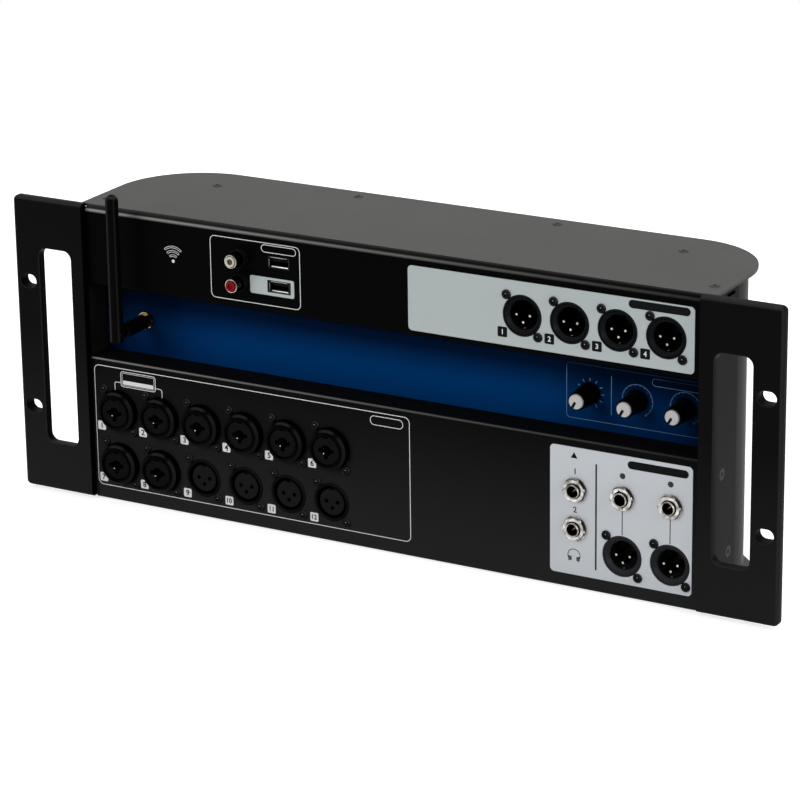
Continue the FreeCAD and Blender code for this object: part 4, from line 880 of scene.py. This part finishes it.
tags = dict(x=-188.1, upper=45.4, upperPitch=28.42, lower=13.6, lowerPitch=28.3, aside=1.35, sink=0.08,
            aux=(75.7, 140.8), auxPitch=28.35)


def inputTags():
    # the lower row's tags stand closer, sink to the right and step aside after the combined inputs
    upper = [(tags["x"] + tags["upperPitch"] * i, tags["upper"]) for i in range(inputs["columns"])]
    lower = []
    for i in range(inputs["columns"]):
        aside = tags["aside"] if i >= inputs["combosLow"] else 0
        lower.append((tags["x"] + tags["lowerPitch"] * i + aside, tags["lower"] - tags["sink"] * i))
    return upper + lower


def auxTags():
    x, z = tags["aux"]
    return [(x + tags["auxPitch"] * i, z) for i in range(4)]


dark = dict(titles=((150.9, 186.8, 165.0, 169.6, 2.25), (151.1, 187.0, 75.0, 79.6, 2.25)),
            arrow=((117.1, 75.7), (121.1, 75.7), (119.1, 79.2)), linkHalf=0.25, linkLow=36.4, linkHigh=50.3)
headset = dict(x=119.2, z=19.6, radius=3.7, line=0.42, ends=(-22, 202), low=17.8, pads=((2.95, 1.5), (1.9, 1.25)),
               half=0.42, corner=0.38)
grey = dict(divider=(131.9, 132.9, 13.3, 74.3), numbers=(("1", 68.3), ("2", 46.2)))


def darkPrints():
    bm = bmesh.new()
    y, t = labelY, ink["proud"]
    for title in dark["titles"]:
        plate(bm, roundBox(*title), y, t)
    for x, z in auxTags():
        tag(bm, x, z, ink["auxTagHalf"], y)
    plate(bm, dark["arrow"], y, t)
    for x, z in masterPlaces:
        bar(bm, x - dark["linkHalf"], x + dark["linkHalf"], dark["linkLow"], dark["linkHigh"], y, t)
    h = headset
    arcLine(bm, h["x"], h["z"], h["radius"], h["line"], *h["ends"], y, t, 32)
    for side in (-1, 1):
        for shift, tall in h["pads"]:
            x = h["x"] + side * shift
            pad = roundBox(x - h["half"], x + h["half"], h["low"] - tall, h["low"] + tall, h["corner"], 5)
            plate(bm, pad, y, t)
    keep(bm, "dark_prints", "inkBlack")


def greyPrints():
    bm = bmesh.new()
    bar(bm, *grey["divider"], labelY, ink["proud"])
    for word, z in grey["numbers"]:
        figure(bm, word, ink["large"], outputs["phones"], z, labelY, ink["proud"])
    keep(bm, "grey_prints", "inkGrey")


def tagFigures(name, finish, places, y, size):
    # the size is that of the numbers with one digit
    bm = bmesh.new()
    for i, (x, z) in enumerate(places):
        figure(bm, str(i + 1), size if i < 9 else ink["small"], x, z, y - ink["proud"], ink["inset"])
    keep(bm, name, finish)


scale = dict(wedges=11, inner=6.7, outer=8.2, arc=9.1, tick=8.2, line=0.32, ends=(235, -55), ticks=16,
             dot=0.6, dotAt=-57)
blueFrames = ((105.7, 189.2, 92.0, 123.2, 2.0, 0.32), (156.8, 186.8, 117.3, 121.3, 1.9, 0.32))
blueDivider = (132.4, 132.8, 96.8, 119.1)


def bluePrints():
    bm = bmesh.new()
    y, t = filmY, ink["proud"]
    for shape in blueFrames:
        frameLine(bm, *shape, y, t)
    bar(bm, *blueDivider, y, t)
    # wedge ticks that grow round the headphone knob
    s = scale
    for i in range(s["wedges"]):
        grow = 0.2 + 0.025 * i
        outer = s["outer"] + 0.04 * i
        wedge = [(s["inner"], -grow / 2), (outer, -grow), (outer, grow), (s["inner"], grow / 2)]
        spoke(bm, knobX["phones"], knobZ, lowest - 30 * i, wedge, y, t)
    tick = [(s["tick"], -0.11), (s["arc"], -0.13), (s["arc"], 0.13), (s["tick"], 0.11)]
    end = math.radians(s["dotAt"])
    for x in (knobX["mix_left"], knobX["mix_right"]):
        arcLine(bm, x, knobZ, s["arc"], s["line"], *s["ends"], y, t, 60)
        for i in range(s["ticks"]):
            spoke(bm, x, knobZ, 228 - 18.5 * i, tick, y, t)
        disc(bm, x + s["arc"] * math.cos(end), knobZ + s["arc"] * math.sin(end), s["dot"], y, t)
    keep(bm, "blue_prints", "inkPale")


whitePrints()
darkPrints()
greyPrints()
tagFigures("input_figures", "inkBlack", inputTags(), panelY, ink["large"])
tagFigures("output_figures", "inkWhite", auxTags(), labelY, ink["small"])
bluePrints()
print("prints made")


# Screws with cross recesses.

panHead = dict(radius=2.7, tall=1.5, stem=1.4, length=6.8, cross=(3.1, 0.7, 0.9), steps=36,
               glint=0.3, glintAt=(0.25, -0.02, 0.75), combo=(9.8, 11.9), plain=(9.5, 10.8))
ovalHead = dict(radius=3.05, shoulder=2.2, tall=0.5, cross=(3.0, 1.0, 1.3))
sunkHead = dict(stem=1.45, edge=0.1, bevel=0.12, steps=40)
coverScrews = dict(head=3.0, length=6.9, cross=(3.2, 0.7, 1.0), places=((191.3, 24.0), (149.0, 75.5), (64.0, 92.0)))
earScrews = dict(head=3.5, length=8.4, cross=(3.6, 0.7, 1.0), places=((33.0, 26.0), (23.5, 73.3), (33.0, 154.0)))


crossTaper = (0.55, 1, 0.7)


def crossCutter(length, width, depth, top=0.0):
    # two crossed blades that narrow towards the bottom, cutting inwards from the head's top
    bm = bmesh.new()
    for turn in (0, 90):
        made = bmesh.ops.create_cube(bm, size=1)["verts"]
        bmesh.ops.scale(bm, vec=(length, depth * 2, width), verts=made)
        bmesh.ops.scale(bm, vec=crossTaper, verts=[v for v in made if v.co.y > 0])
        bmesh.ops.rotate(bm, cent=(0, 0, 0), matrix=Matrix.Rotation(math.radians(turn), 3, "Y"), verts=made)
    slide(bm, bm.verts, y=-top)
    return bm


def cutHead(profile, cutter, steps):
    # a turned head with the cross cut by a boolean
    head = bmesh.new()
    lathe(head, profile, 0, 0, steps)
    bmesh.ops.remove_doubles(head, verts=head.verts, dist=weld / 2)
    bmesh.ops.recalc_face_normals(head, faces=head.faces)
    blank, tool = addObject("head", head), addObject("cutter", cutter)
    cut = blank.modifiers.new("cross", "BOOLEAN")
    cut.operation = "DIFFERENCE"
    cut.solver = "EXACT"
    cut.use_self = True
    cut.object = tool
    mesh = meshOf(blank)
    bpy.data.objects.remove(tool)
    return mesh


def sunkProfile(top, look):
    # a countersunk head under its top, and the stem
    head, stem = look["head"], sunkHead["stem"]
    return top + [(head, sunkHead["edge"]), (stem, head - stem), (stem, look["length"]), (0, look["length"])]


def flatScrew(look):
    top = [(0, 0), (look["head"] - sunkHead["bevel"], 0)]
    return cutHead(sunkProfile(top, look), crossCutter(*look["cross"]), sunkHead["steps"])


def nextTurn(places, step):
    # screws stop at different angles
    return step * len(places) % 90


def setScrews(name, mesh, places, finish, replaces):
    # places are (position, direction out of the head, turn in degrees)
    bm = bmesh.new()
    for position, out, turn in places:
        copy = mesh.copy()
        spin = Matrix.Rotation(math.radians(turn), 4, "Y")
        face = Vector((0, -1, 0)).rotation_difference(Vector(out)).to_matrix().to_4x4()
        copy.transform(Matrix.Translation(position) @ face @ spin)
        bm.from_mesh(copy)
        bpy.data.meshes.remove(copy)
    keep(bm, name, finish, "case", replaces)


def panelScrews():
    h = panHead
    r, tall = h["radius"], h["tall"]
    profile = [(0, -tall), (r * 0.45, -tall), (r * 0.78, -tall * 0.86), (r * 0.95, -tall * 0.55),
               (r, -tall * 0.2), (r, 0), (h["stem"], 0), (h["stem"], h["length"]), (0, h["length"])]
    mesh = cutHead(profile, crossCutter(*h["cross"], tall), h["steps"])
    places = []
    for group, seat, (dx, dz) in ((comboPlaces, panelY, h["combo"]), (micPlaces, panelY, h["plain"]),
                                  (auxPlaces + masterPlaces, labelY, h["plain"])):
        for x, z in group:
            for side in (-1, 1):
                place = Vector((x + side * dx, seat, z - side * dz))
                places.append((place, (0, -1, 0), nextTurn(places, 37)))
    setScrews("panel_screws", mesh, places, "screwBlack", ("connector_screws",))
    # a painted highlight: a small bright bead on each head
    glints = bmesh.new()
    shift = Vector(h["glintAt"]) - Vector((0, tall, 0))
    for place, out, turn in places:
        ball = bmesh.ops.create_uvsphere(glints, u_segments=12, v_segments=8, radius=h["glint"])["verts"]
        slide(glints, ball, *(place + shift))
    keep(glints, "screw_glints", "dimHighlightSteel")
    low, high = nodeBox("inlet_screws")
    rear = [(Vector((x, high.y - tall, (low.z + high.z) / 2)), (0, 1, 0), 20) for x in (low.x + r, high.x - r)]
    setScrews("rear_screws", mesh, rear, "screwBlack", ("inlet_screws",))


def flushScrews():
    top = nodeBox("top_cover")[1].z
    front = nodeBox("left_ear")[0].y
    h = ovalHead
    profile = [(0, -h["tall"]), (h["shoulder"] * 0.8, -h["tall"] * 0.96), (h["shoulder"], -h["tall"] * 0.86),
               (h["radius"], 0)]
    oval = cutHead(sunkProfile(profile, coverScrews), crossCutter(*h["cross"], h["tall"]), sunkHead["steps"])
    upper, lower, sides = [], [], []
    for x, y in coverScrews["places"]:
        for side in (-1, 1):
            turn = nextTurn(upper, 53)
            upper.append((Vector((side * x, front + y, top)), (0, 0, 1), turn))
            lower.append((Vector((side * x, front + y, 0)), (0, 0, -1), turn + 31))
    setScrews("top_cover_screws", oval, upper, "screwGrey", ("cover_screws",))
    setScrews("bottom_cover_screws", flatScrew(coverScrews), lower, "screwGrey", ("cover_screws",))
    low, high = nodeBox("ear_screws")
    for y, z in earScrews["places"]:
        for side, x in ((-1, low.x), (1, high.x)):
            sides.append((Vector((x, front + y, z)), (side, 0, 0), nextTurn(sides, 47)))
    setScrews("flush_ear_screws", flatScrew(earScrews), sides, "screwBlack", ("ear_screws",))


panelScrews()
flushScrews()
print("screws made")


# Small parts inside the sockets.

collar = dict(inner=8.8, outer=9.85, proud=6.65, edge=0.25, lip=0.1, deep=4)


def comboCollars():
    # the dark collar round each combo insert, proud of the shell
    bm = bmesh.new()
    c = collar
    front = panelY - c["proud"]
    for x, z in comboPlaces:
        lathe(bm, [(c["inner"], front + c["deep"]), (c["inner"], front + c["lip"]), (c["inner"] + c["lip"], front),
                   (c["outer"] - c["edge"], front), (c["outer"], front + c["edge"]),
                   (c["outer"], front + c["deep"]), (c["inner"], front + c["deep"])], x, z, 56)
    keep(bm, "combo_collars", "throatBlack")


lining = dict(long=11.0, tall=8.0, pitch=76.2, inFromEdge=8.75, start=0.8, thick=0.15, collar=0.5, deep=7.8,
              plate=5.5, gap=0.02)


def slotOutline(x, z, grow):
    # a rack slot's outline, with round ends
    half = lining["tall"] / 2 + grow
    wide = lining["long"] / 2 + grow
    return roundBox(x - wide, x + wide, z - half, z + half, half - 0.001, 12)


def slotLinings():
    # black linings in the ears' slots, each with a low collar behind the ear
    bm = bmesh.new()
    low, high = nodeBox("right_ear")
    middle = (low.z + high.z) / 2
    end = low.y + lining["deep"]
    for side in (-1, 1):
        x = side * (high.x - lining["inFromEdge"])
        for z in (middle - lining["pitch"] / 2, middle + lining["pitch"] / 2):
            ring(bm, slotOutline(x, z, lining["gap"]), slotOutline(x, z, -lining["thick"]), end,
                 lining["deep"] - lining["start"])
            ring(bm, slotOutline(x, z, lining["collar"]), slotOutline(x, z, 0.0), end,
                 lining["deep"] - lining["plate"])
    keep(bm, "ear_slot_linings", "throatBlack")


# blocks as (size along X, Y and Z), (place from the socket's axis and the panel's face)
contacts = dict(ball=0.5, ballAt=(-1.8, -4.7, -2.1), tab=((2.2, 4.0, 0.4), (0, -2.3, -9.7)),
                shellTab=((1.0, 2.4, 0.4), (0, 3.6, -7.7)), spring=((4.6, 0.7, 0.9), (0, -0.6, 0)), lean=-42)


def socketContacts():
    # bright contacts in the jack holes, the earth tabs under the combo inserts and in the output shells
    c = contacts
    bm = bmesh.new()
    for x, z in comboPlaces:
        tip = bmesh.ops.create_uvsphere(bm, u_segments=16, v_segments=10, radius=c["ball"])["verts"]
        slide(bm, tip, *(Vector((x, panelY, z)) + Vector(c["ballAt"])))
        smallBlock(bm, *c["tab"], x, z)
    keep(bm, "combo_contacts", "zincSteel")
    bm = bmesh.new()
    for x, z in auxPlaces + masterPlaces:
        smallBlock(bm, *c["shellTab"], x, z)
    for x, z in jackPlaces:
        smallBlock(bm, *c["spring"], x, z, math.radians(c["lean"]))
    keep(bm, "deep_contacts", "tabCopper")


def smallBlock(bm, size, offset, x, z, turn=0.0):
    # a bevelled block, turned about the line parallel to Y through its middle
    made = bmesh.ops.create_cube(bm, size=1)["verts"]
    bmesh.ops.scale(bm, vec=size, verts=made)
    bmesh.ops.rotate(bm, cent=(0, 0, 0), matrix=Matrix.Rotation(turn, 3, "Y"), verts=made)
    slide(bm, made, *(Vector((x, panelY, z)) + Vector(offset)))
    edges = list({edge for v in made for edge in v.link_edges})
    bmesh.ops.bevel(bm, geom=edges, offset=min(size) * 0.2, segments=2, profile=0.5, affect="EDGES", material=-1)


throat = dict(outer=3.2, inner=2.9, start=-3.2, floor=21.6, end=22)


def jackThroats():
    # dark linings of the jacks' bores
    bm = bmesh.new()
    t = throat
    start, floor, end = (panelY + t[key] for key in ("start", "floor", "end"))
    for x, z in jackPlaces:
        lathe(bm, [(t["outer"], start), (t["outer"], end), (0, end), (0, floor), (t["inner"], floor),
                   (t["inner"], start), (t["outer"], start)], x, z, 36)
    keep(bm, "jack_throats", "throatBlack")


nut = dict(corner=7.15, bore=4.25, thick=2.4, washer=7.1, washerThick=0.35, edge=0.1, chamfer=0.62, crown=0.88,
           lead=(0.35, 0.4), turns=(8, -6, 11, 3), points=48)


def jackNuts():
    # hexagon nuts with a chamfered crown, each on a round washer
    bm = bmesh.new()
    n = nut
    seat = labelY - n["washerThick"]
    face = labelY - n["thick"]
    wide, deep = n["lead"]
    for (x, z), turn in zip(jackPlaces, n["turns"]):
        lathe(bm, [(n["bore"], labelY), (n["washer"], labelY), (n["washer"], seat + n["edge"]),
                   (n["washer"] - n["edge"], seat), (n["bore"], seat), (n["bore"], labelY)], x, z, 56)
        loops = [hexLoop(bm, x, z, turn, y, limit) for y, limit in (
            (seat, n["corner"]), (face + n["chamfer"], n["corner"]), (face, n["corner"] * n["crown"]),
            (face, n["bore"] + wide), (face + deep, n["bore"]), (seat, n["bore"]))]
        for first, second in zip(loops, loops[1:] + loops[:1]):
            bmesh.ops.bridge_loops(bm, edges=first + second)
    keep(bm, "jack_hex_nuts", "brightNickel", replaces=("jack_nuts",), smooth=24)


def hexLoop(bm, x, z, turn, y, limit):
    # edges of a hexagon's outline, cut back to a circle of the given limit
    flat = nut["corner"] * math.cos(math.radians(30))
    verts = []
    for i in range(nut["points"]):
        angle = 360 / nut["points"] * i
        reach = min(flat / math.cos(math.radians((angle + 30) % 60 - 30)), limit)
        t = math.radians(angle + turn + 30)
        verts.append(bm.verts.new((x + reach * math.cos(t), y, z + reach * math.sin(t))))
    return [bm.edges.new(pair) for pair in zip(verts, verts[1:] + verts[:1])]


media = dict(shellHalf=3.3, gapLeft=7.7, gapRight=7.5, gapTall=3.6, gapCorner=0.4, corner=1.1,
             spring=((10.6, 1.6, 0.62), (0.3, 0.9, -2.6)), upperHighlight=((10.6, 0.5, 0.36), (0, -0.35, 3.0)),
             leftHighlight=((0.16, 0.5, 4.2), (-6.1, -0.35, -0.1)))


def usbPlaces():
    low, high = nodeBox("usb_shells")
    return (low.x + high.x) / 2, (high.z - media["shellHalf"], low.z + media["shellHalf"])


def usbLips():
    # the springs inside each USB socket, bright as a painted highlight, and thin strips along the shell's top and
    # left edges that paint its highlights
    bm = bmesh.new()
    edges = bmesh.new()
    x, heights = usbPlaces()
    for z in heights:
        smallBlock(bm, *media["spring"], x, z)
        smallBlock(edges, *media["upperHighlight"], x, z)
        smallBlock(edges, *media["leftHighlight"], x, z)
    keep(bm, "usb_springs", "brightHighlightSteel")
    keep(edges, "usb_edge_highlights", "dimHighlightSteel")


def recLabel():
    # the silver field round the lower USB socket
    bm = bmesh.new()
    low, high = nodeBox("rec_label")
    x, heights = usbPlaces()
    z = heights[1]
    m = media
    ring(bm, roundBox(low.x, high.x, low.z, high.z, m["corner"]),
         roundBox(x - m["gapLeft"], x + m["gapRight"], z - m["gapTall"], z + m["gapTall"], m["gapCorner"]),
         high.y, high.y - low.y)
    keep(bm, "rec_field", "silverPrint", replaces=("rec_label",))


# (radius, depth behind the core's face)
lineIn = dict(spring=((1.9, 0.5), (1.9, 4), (1.62, 4), (1.62, 0.65), (1.7, 0.5), (1.9, 0.5)),
              throat=((0, 1.1), (1.6, 1.1), (1.6, 2.6), (0, 2.6)))


def lineInContacts():
    # spring rings and throats inside the two line inputs, gilt in the left one and dark red in the right one
    for node, spring, throat in (("line_in_core_left", "giltContact", "throatBrown"),
                                 ("line_in_core_right", "plasticRed", "throatRed")):
        face = nodeBox(node)[0].y - touches["cores"]["forward"]
        for part, finish, slot, steps in (("spring", spring, "gilt_contact", 32),
                                          ("throat", throat, "black_insert", 24)):
            bm = bmesh.new()
            lathe(bm, [(radius, face + deep) for radius, deep in lineIn[part]], *nodeAxis(node), steps)
            keep(bm, node + "_" + part, finish)


pointer = dict(outline=((0.1, -0.75), (4.45, -0.85), (4.45, 0.85), (0.1, 0.75)), sunk=0.35, thick=0.38)


def knobPointers():
    # a black line on each white cap, lowest setting at rest
    for name, x in knobX.items():
        bm = bmesh.new()
        face = nodeBox(name + "_knob_cap")[0].y - touches["caps"]["forward"]
        spoke(bm, x, knobZ, lowest, pointer["outline"], face + pointer["sunk"], pointer["thick"])
        keep(bm, name + "_pointer", "inkBlack", name + "_control")


comboCollars()
slotLinings()
socketContacts()
jackThroats()
jackNuts()
usbLips()
recLabel()
lineInContacts()
knobPointers()
print("small parts made")


# Floor, world and lamps.

ground = dict(radius=0.85, drop=0.0002, matte=0.82, glow=0.62, sky=0.22, skySeen=0.78)


def makeFloor():
    bm = bmesh.new()
    bmesh.ops.create_circle(bm, cap_ends=True, segments=64, radius=ground["radius"])
    floor = addObject("floor", bm)
    floor.location.z = -ground["drop"]
    material = bpy.data.materials.new("paleFloor")
    material.use_nodes = True
    tree = material.node_tree
    tree.nodes.clear()
    n = Nodes(tree)
    matte = n.node("BsdfDiffuse", values={"Color": ground["matte"]})
    glow = n.node("Emission", values={"Strength": ground["glow"]})
    both = n.node("AddShader", values={0: matte, 1: glow})
    mix = n.node("MixShader", values={0: n.showing(), 1: matte, 2: both})
    join(tree, tree.nodes.new("ShaderNodeOutputMaterial").inputs["Surface"], mix)
    floor.data.materials.append(material)


def makeWorld():
    world = bpy.data.worlds.new("studio")
    scene.world = world
    world.use_nodes = True
    back = world.node_tree.nodes["Background"]
    seen = Nodes(world.node_tree).showing()
    join(world.node_tree, back.inputs["Strength"], seen * ground["skySeen"] + ground["sky"])
    back.inputs["Color"].default_value = (1, 1, 1, 1)


lamps = dict(
    over=dict(place=(0.1, 0.5, 1.7), aim=(0, 0, 0.1), size=(1.6, 1.0), watts=20),
    front=dict(place=(-0.9, -2.0, 1.2), aim=(0, 0, 0.1), size=(1.2, 1.2), watts=30),
    side=dict(place=(2.2, -0.5, 0.9), aim=(0.1, 0, 0.1), size=(0.7, 1.2), watts=16),
)


def makeLamps():
    for name, look in lamps.items():
        data = bpy.data.lights.new(name, "AREA")
        data.shape = "RECTANGLE"
        data.size, data.size_y = look["size"]
        data.energy = look["watts"]
        lamp = bpy.data.objects.new(name, data)
        lamp.location = look["place"]
        aim = Vector(look["aim"]) - Vector(look["place"])
        lamp.rotation_euler = aim.to_track_quat("-Z", "Y").to_euler()
        scene.collection.objects.link(lamp)


makeFloor()
makeWorld()
makeLamps()
scene.view_settings.view_transform = "Standard"
print("studio set")
